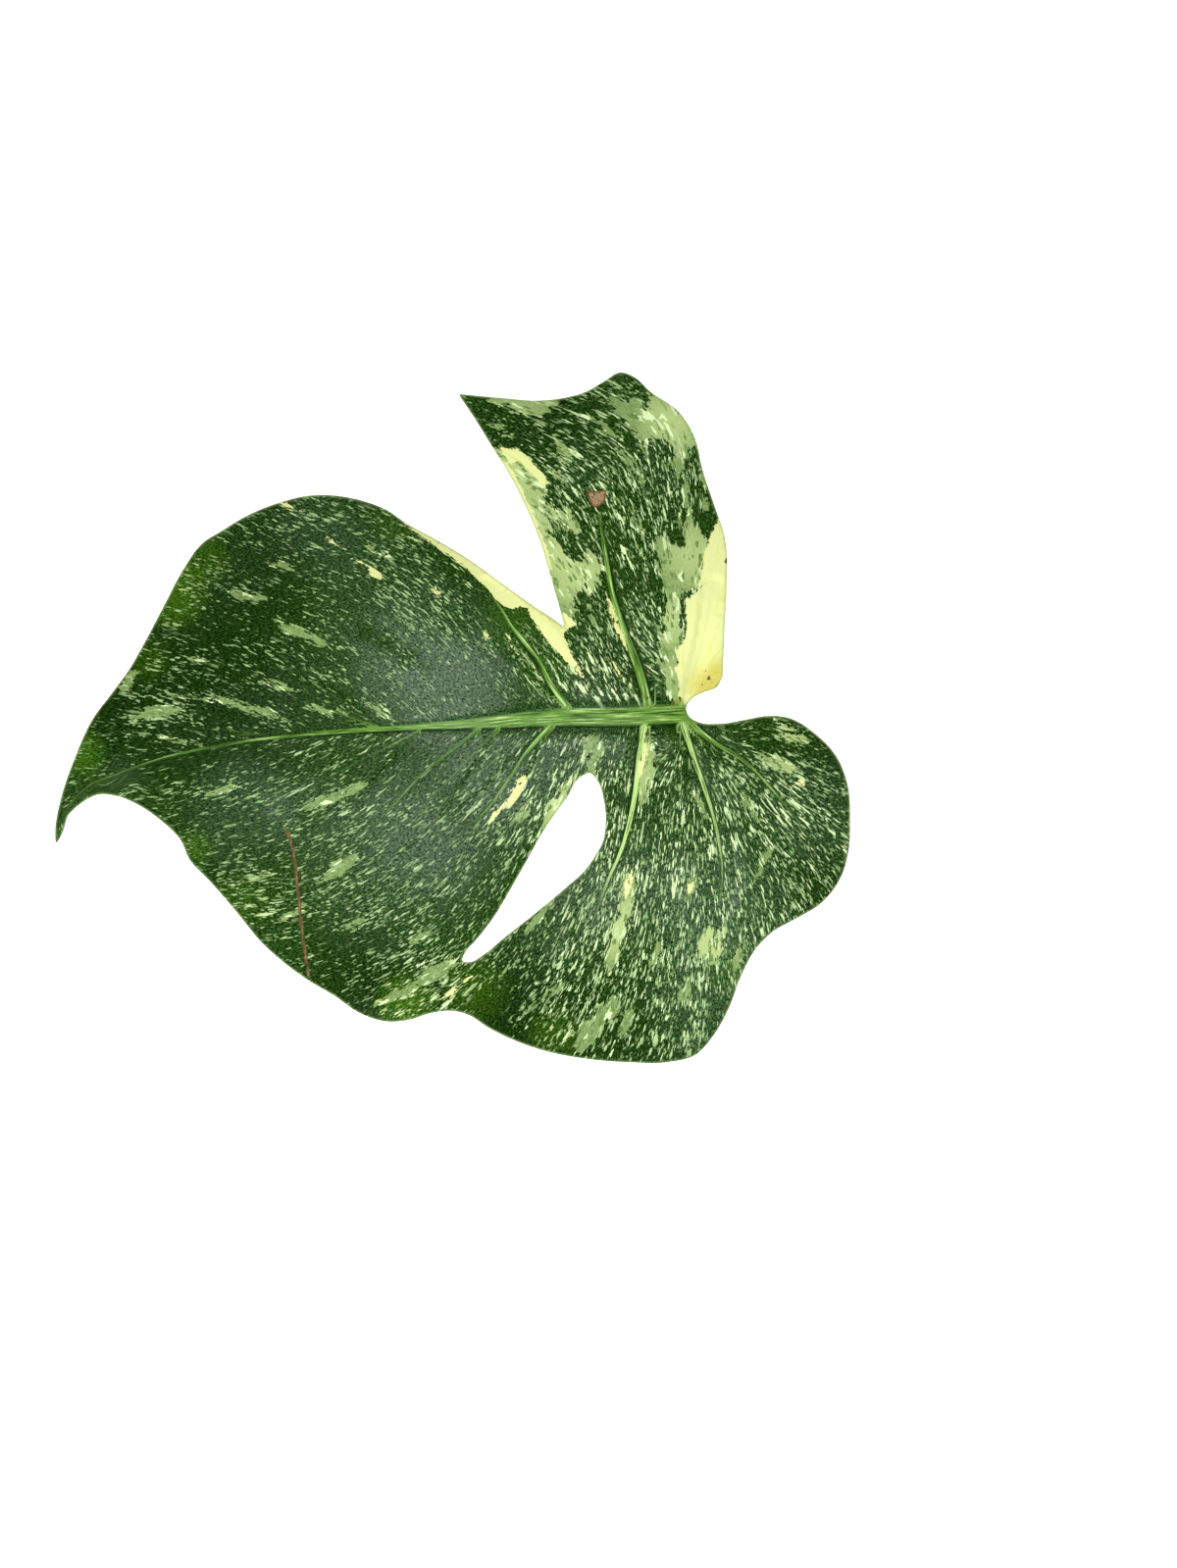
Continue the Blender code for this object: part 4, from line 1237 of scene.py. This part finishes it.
def green_tissue(wiring, colours, veins, fine):
    """The upper face's green tissue with its small, middle-sized and large flakes."""
    tissue = wiring.mix(wiring.mask(fine, 0.44, 0.52), colours.deep, colours.leaf)
    tissue = wiring.mix(wiring.mask(fine, 0.55, 0.62), tissue, colours.light)
    tissue = wiring.mix(wiring.field("shaded"), tissue, SHADED_TINT, "MULTIPLY")
    # Painted sheen: where the wax lies, the tissue is lightened towards a greyish green.
    painted_sheen = wiring.math("MULTIPLY", wiring.field("wax_and_sheen"), wiring.mask(fine, 0.38, 0.58))
    tissue = wiring.mix(wiring.math("MULTIPLY", painted_sheen, 0.5), tissue, colours.wax_and_sheen)
    lime = wiring.field("lime")
    tissue = wiring.mix(wiring.math("MULTIPLY", lime, wiring.mask(fine, 0.34, 0.6)), tissue, colours.lime)
    drift = wiring.math("SUBTRACT", veins.streak(*DRIFTS), 0.5)
    crowd = wiring.field("speckled")
    bright = wiring.mix(wiring.mask(crowd, -0.1, 0.9), colours.speck_pale, colours.bright)
    bright = wiring.mix(wiring.math("MULTIPLY", lime, 0.5), bright, colours.cream_deep)
    clear = wiring.mask(wiring.field("rib_away"), 1.0, 3.2)

    def with_flakes(tissue, kind, low, high):
        """The tissue with one kind of flakes over it, and none close to a rib."""
        pattern, (crowded, drifted, least) = kind
        share = wiring.math("MULTIPLY_ADD", drift, drifted, least)
        share = wiring.math("MULTIPLY_ADD", crowd, crowded, share)
        share = wiring.math("MULTIPLY", share, clear)
        return add_flakes(wiring, veins.flakes(*pattern), tissue, share, low, high)

    tissue = with_flakes(tissue, SMALL_FLAKES, colours.speck, colours.speck_pale)
    tissue = with_flakes(tissue, MIDDLE_FLAKES, colours.speck, bright)
    return with_flakes(tissue, LARGE_FLAKES, colours.speck_pale, bright)


def add_ribs(wiring, colours, veins, colour, cream):
    """The ribs over the upper face's colour: a band with pale lines, and a painted shadow of its groove
    along one side.
    """
    parts = wiring.node("ShaderNodeSeparateXYZ", {0: wiring.map("rib")})
    signed, along = parts.outputs[0], parts.outputs[1]
    across = wiring.math("ABSOLUTE", signed)
    close = wiring.mask(wiring.field("rib_away"), 4.0, 2.5)
    half = wiring.field("rib_half")
    bare = wiring.math("MULTIPLY_ADD", cream, -0.85, 1.0)
    shown = wiring.math("MULTIPLY", wiring.math("MULTIPLY", close, wiring.mask(half, 0.15, 0.75)), bare)
    width = wiring.math("MULTIPLY", signed, half)
    lines = wiring.node("ShaderNodeCombineXYZ", {0: width, 1: along}).outputs[0]
    grain = wiring.group(veins.streaks, {"First": lines, "Second": lines, "Across": 0.5, "Along": 15.0,
                                         "Place": 5.0}).outputs[0]
    band = wiring.math("MULTIPLY", wiring.mask(across, 1.15, 0.7), shown)
    beyond = wiring.math("SUBTRACT", width, half)
    # Painted shadow: a dark line beside each rib, on the side where its groove would lie in shade.
    painted_rib_shadow = wiring.math("MULTIPLY", wiring.mask(beyond, -0.35, 0.0), wiring.mask(beyond, 1.1, 0.3))
    painted_rib_shadow = wiring.math("MULTIPLY", painted_rib_shadow, wiring.math("MULTIPLY", shown, wiring.mask(half, 0.45, 0.9)))
    tone = wiring.mix(wiring.mask(grain, 0.36, 0.5), colours.leaf, colours.rib)
    paler = wiring.math("MULTIPLY_ADD", wiring.field("rib_pale"), 0.26, -0.08)
    tone = wiring.mix(wiring.mask(wiring.math("ADD", grain, paler), 0.5, 0.62), tone, colours.rib_pale)
    colour = wiring.mix(wiring.math("MULTIPLY", painted_rib_shadow, 0.85), colour, colours.deep)
    return wiring.mix(wiring.math("MULTIPLY", band, 0.95), colour, tone), band, grain


def torn_patches(wiring, veins, fine, shreds):
    """Where sage and where cream shows: the depth in their shapes, torn by blocks, shreds and fine grain."""
    blocks = wiring.math("SUBTRACT", veins.flakes(1.3, 4.0, 41.0)[0], 0.5)
    grain = wiring.math("SUBTRACT", fine, 0.5)

    def patch(name, block_size, shred_size):
        """One kind of shape, with how far its edge is torn, in millimetres."""
        torn = wiring.math("MULTIPLY_ADD", blocks, block_size, wiring.field(name))
        torn = wiring.math("MULTIPLY_ADD", grain, GRAIN_TEAR, torn)
        return wiring.mask(wiring.math("MULTIPLY_ADD", shreds, shred_size, torn), -0.15, 0.15)

    sage = wiring.math("MAXIMUM", patch("sage", 1.8, 9.0), patch("sage_splash", 1.7, 7.0))
    cream = wiring.math("MAXIMUM", patch("cream", 0.5, 2.6), patch("cream_splash", 0.9, 3.5))
    return sage, cream


def sage_tissue(wiring, colours, veins, fine):
    """Half-green tissue: mottled, nearly cream in places, with pale and dull flecks."""
    tissue = wiring.mix(wiring.mask(fine, 0.38, 0.6), colours.sage_dull, colours.sage)
    tissue = wiring.mix(wiring.math("MULTIPLY", wiring.field("pale"), 0.75), tissue, colours.sage_pale)
    tissue = add_flakes(wiring, veins.flakes(1.0, 3.4, 53.0), tissue, 0.2, colours.sage, colours.bright)
    dull = colours.sage_dull
    return add_flakes(wiring, veins.flakes(0.8, 2.2, 57.0), tissue, 0.12, dull, dull)


def cream_tissue(wiring, colours, veins):
    """Tissue with no green, and yellower lines along it."""
    lengthwise = veins.streak(1.6, 34.0, 59.0)
    return wiring.mix(wiring.mask(lengthwise, 0.5, 0.75), colours.cream, colours.cream_deep)


def underside(wiring, colours, fine, sage, cream, band):
    """The lower face: matt green, through which the paler sectors and the ribs show."""
    lower = wiring.mix(wiring.mask(fine, 0.35, 0.65), colours.under, colours.speck)
    lower = wiring.mix(wiring.math("MULTIPLY", sage, 0.6), lower, colours.sage)
    lower = wiring.mix(wiring.math("MULTIPLY", cream, 0.9), lower, colours.cream)
    return wiring.mix(wiring.math("MULTIPLY", band, 0.9), lower, colours.rib_pale)


def add_dead_tissue(wiring, colours, fine, shreds, colour):
    """Brown spots and the scar over a colour, with darker rims, and the mask of where they are."""
    damage = wiring.math("MULTIPLY_ADD", shreds, 1.6, wiring.field("damage"))
    dead = wiring.mask(damage, -0.2, 0.2)
    brown = wiring.mix(wiring.mask(damage, 0.5, 1.1), colours.brown_dark, colours.brown)
    brown = wiring.mix(wiring.mask(fine, 0.52, 0.6), brown, colours.brown_dark)
    return wiring.mix(dead, colour, brown), dead


def blade_material(colours):
    """The blade: green tissue, flakes, splashes, sage and cream sectors, ribs, margin and dead spots."""
    material, wiring, shader = new_material("leaf_blade")
    veins = VeinPatterns(wiring, wiring.map("flow_first"), wiring.map("flow_second"),
                         wiring.field("flow_share"))
    fine = veins.streak(*FINE_GRAIN)
    shreds = wiring.math("SUBTRACT", veins.streak(1.6, 5.5, 47.0), 0.5)
    sage, cream = torn_patches(wiring, veins, fine, shreds)
    upper = green_tissue(wiring, colours, veins, fine)
    upper = wiring.mix(sage, upper, sage_tissue(wiring, colours, veins, fine))
    upper = wiring.mix(cream, upper, cream_tissue(wiring, colours, veins))
    # Painted shade on the cream corner that turns down past the fold.
    fold_shade = wiring.math("MULTIPLY", wiring.field("fold_shade"), wiring.mask(fine, 0.25, 0.55))
    upper = wiring.mix(wiring.math("MULTIPLY", fold_shade, 0.85), upper, colours.fold_shade)
    upper, band, grain = add_ribs(wiring, colours, veins, upper, cream)
    lower = underside(wiring, colours, fine, sage, cream, band)
    under = wiring.field("under")
    colour = wiring.mix(wiring.mask(under, 0.3, 0.7), upper, lower)
    margin = wiring.mask(wiring.field("edge"), 0.7, 0.1)
    colour = wiring.mix(wiring.math("MULTIPLY", margin, 0.4), colour, colours.sage)
    colour, dead = add_dead_tissue(wiring, colours, fine, shreds, colour)
    wiring.link(colour, shader.inputs["Base Color"])

    # The underside, the ribs and dead tissue are rougher, and wax lies only on the upper face.
    roughness, height = veins.surface(BLADE_ROUGHNESS, BLADE_GRAIN)
    roughness = wiring.math("MULTIPLY_ADD", under, 0.16, roughness)
    roughness = wiring.math("MULTIPLY_ADD", band, 0.22, roughness)
    wiring.link(wiring.math("MULTIPLY_ADD", dead, 0.25, roughness), shader.inputs["Roughness"])
    height = wiring.math("MULTIPLY_ADD", veins.streak(0.7, 55.0, 81.0), 0.5, height)
    height = wiring.math("MULTIPLY_ADD", wiring.math("MULTIPLY", grain, band), 0.5, height)
    height = wiring.math("MULTIPLY_ADD", dead, -0.4, height)
    bump = wiring.node("ShaderNodeBump", {**BUMP, "Height": height})
    wiring.link(bump.outputs["Normal"], shader.inputs["Normal"])
    wax = wiring.math("MULTIPLY", wiring.field("wax_and_sheen"), wiring.mask(under, 0.6, 0.4))
    wax = wiring.math("MULTIPLY", wax, wiring.mask(fine, 0.3, 0.65))
    wiring.link(wiring.math("MULTIPLY", wax, WAX_COAT), shader.inputs["Coat Weight"])
    shader.inputs["Coat Roughness"].default_value = WAX_ROUGHNESS
    shader.inputs["Specular IOR Level"].default_value = BLADE_SPECULAR
    return material


def stalk_material(colours):
    """The stalk: green with pale lines along it, browner wrinkles at the knee, and a pale moist cut."""
    material, wiring, shader = new_material("petiole")
    veins = VeinPatterns(wiring, wiring.map("flow"))
    lines, specks = veins.streak(1.2, 40.0, 3.0), veins.streak(0.8, 5.0, 13.0)
    colour = wiring.mix(wiring.mask(lines, 0.4, 0.62), colours.stalk, colours.rib_pale)
    colour = wiring.mix(wiring.mask(specks, 0.56, 0.66), colour, colours.light)
    broad = wiring.mask(veins.streak(6.0, 90.0, 23.0), 0.55, 0.6)
    colour = wiring.mix(wiring.math("MULTIPLY", broad, 0.7), colour, colours.cream)
    knee = wiring.math("MULTIPLY", wiring.field("knee"), wiring.mask(specks, 0.35, 0.6))
    colour = wiring.mix(wiring.math("MULTIPLY", knee, 0.45), colour, colours.leaf)
    spot = wiring.node("ShaderNodeTexCoord").outputs["Object"]
    pores = wiring.node("ShaderNodeTexVoronoi", {"Vector": spot, "Scale": CUT_PORES}).outputs["Distance"]
    flesh = wiring.mix(wiring.mask(pores, 0.2, 0.45), colours.rib, colours.bright)
    cut = wiring.mask(wiring.field("cut"), 0.4, 0.9)
    wiring.link(wiring.mix(cut, colour, flesh), shader.inputs["Base Color"])
    roughness, height = veins.surface(STALK_ROUGHNESS, STALK_GRAIN)
    wiring.link(wiring.math("MULTIPLY_ADD", cut, 0.15, roughness), shader.inputs["Roughness"])
    height = wiring.math("MULTIPLY_ADD", lines, 0.8, height)
    bump = wiring.node("ShaderNodeBump", {**BUMP, "Height": height})
    wiring.link(bump.outputs["Normal"], shader.inputs["Normal"])
    shader.inputs["Specular IOR Level"].default_value = STALK_SPECULAR
    return material


# ---------------------------------------------------------------- the studio

def add_area_light(name, place, aim, size, power):
    """A square soft light that faces a point."""
    data = bpy.data.lights.new(name, "AREA")
    data.shape = "SQUARE"
    data.size = size
    data.energy = power
    light = bpy.data.objects.new(name, data)
    light.location = place
    x, y, z = np.array(aim, float) - np.array(place, float)
    light.rotation_euler = (math.atan2(math.hypot(x, y), -z), 0.0, math.atan2(x, -y) + math.pi)
    bpy.context.scene.collection.objects.link(light)


def make_floor(glow):
    """A pale square surface, a little below the leaf's lowest point so that the two don't share a plane.

    Its glow fills in the leaf's shadow.
    """
    mesh = bpy.data.meshes.new("floor")
    half = FLOOR_HALF
    corners = [(x, y, -FLOOR_DROP) for x, y in ((-half, -half), (half, -half), (half, half), (-half, half))]
    mesh.from_pydata(corners, [], [(0, 1, 2, 3)])
    floor = bpy.data.objects.new("floor", mesh)
    bpy.context.scene.collection.objects.link(floor)
    material, _, shader = new_material("pale_floor")
    shader.inputs["Base Color"].default_value = FLOOR_COLOUR
    shader.inputs["Roughness"].default_value = FLOOR_ROUGHNESS
    shader.inputs["Specular IOR Level"].default_value = FLOOR_SPECULAR
    shader.inputs["Emission Color"].default_value = GLOW_COLOUR
    shader.inputs["Emission Strength"].default_value = glow
    mesh.materials.append(material)
    return floor


def make_camera(height):
    """A camera that looks straight down and takes in the view's long side at the view's plane."""
    data = bpy.data.cameras.new("camera")
    data.sensor_width = SENSOR_WIDTH
    data.lens = data.sensor_width * (height - VIEW_PLANE) / VIEW_LONG_SIDE
    data.clip_end = FAR_END
    camera = bpy.data.objects.new("camera", data)
    camera.location = (*VIEW_CENTRE, height)
    bpy.context.scene.collection.objects.link(camera)
    bpy.context.scene.camera = camera


def make_surroundings(brightness):
    """An even, nearly white world: dim as a light, and seen as bright as the floor's far edge."""
    world = bpy.data.worlds.new("studio")
    world.use_nodes = True
    background = world.node_tree.nodes["Background"]
    background.inputs["Color"].default_value = SKY_COLOUR
    wiring = Wiring(world.node_tree)
    seen = wiring.node("ShaderNodeLightPath").outputs["Is Camera Ray"]
    strength = wiring.math("MULTIPLY_ADD", seen, BACKDROP - brightness, brightness)
    wiring.link(strength, background.inputs["Strength"])
    bpy.context.scene.world = world


# ---------------------------------------------------------------- operators, panel and registration

class MONSTERA_OT_blade(bpy.types.Operator):
    """Build the finished blade in place of the plain one"""

    bl_idname = "monstera.add_blade"
    bl_label = "Leaf blade"

    def execute(self, context):
        settings = context.scene.monstera
        blade = make_blade(settings.shape)
        blade.data.materials.append(blade_material(settings.colours))
        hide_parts("leaf_blade")
        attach(blade, "root")
        return {"FINISHED"}


class MONSTERA_OT_stalk(bpy.types.Operator):
    """Build the finished stalk in place of the plain one"""

    bl_idname = "monstera.add_stalk"
    bl_label = "Leaf stalk"

    def execute(self, context):
        stalk = make_stalk()
        stalk.data.materials.append(stalk_material(context.scene.monstera.colours))
        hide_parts("petiole")
        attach(stalk, "root")
        return {"FINISHED"}


class MONSTERA_OT_studio(bpy.types.Operator):
    """Build the floor, the lights and the camera"""

    bl_idname = "monstera.add_studio"
    bl_label = "Studio"

    def execute(self, context):
        studio = context.scene.monstera.studio
        make_floor(studio.glow)
        add_area_light("key", KEY_PLACE, KEY_AIM, studio.key_size, studio.key_power)
        make_surroundings(studio.sky)
        make_camera(studio.camera_height)
        context.scene.view_settings.view_transform = "Standard"
        return {"FINISHED"}


class VIEW3D_PT_monstera(bpy.types.Panel):
    """The leaf's parts and settings in the sidebar"""

    bl_label = "Monstera Leaf"
    bl_space_type = "VIEW_3D"
    bl_region_type = "UI"
    bl_category = "Monstera"

    def draw(self, context):
        layout = self.layout
        for operator in (MONSTERA_OT_blade, MONSTERA_OT_stalk, MONSTERA_OT_studio):
            layout.operator(operator.bl_idname)
        settings = context.scene.monstera
        for group in (settings.shape, settings.colours, settings.studio):
            box = layout.box()
            for name in group.__annotations__:
                box.prop(group, name)


CLASSES = (
    LeafShape, LeafColours, StudioSettings, MonsteraSettings, MONSTERA_OT_blade, MONSTERA_OT_stalk,
    MONSTERA_OT_studio, VIEW3D_PT_monstera,
)


def register():
    """Make the operators, the panel and the settings known to Blender."""
    for cls in CLASSES:
        bpy.utils.register_class(cls)
    bpy.types.Scene.monstera = PointerProperty(type=MonsteraSettings)


def unregister():
    """Take them away again."""
    del bpy.types.Scene.monstera
    for cls in reversed(CLASSES):
        bpy.utils.unregister_class(cls)


def main():
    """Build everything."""
    register()
    bpy.ops.monstera.add_blade()
    bpy.ops.monstera.add_stalk()
    bpy.ops.monstera.add_studio()


if __name__ == "__main__":
    main()
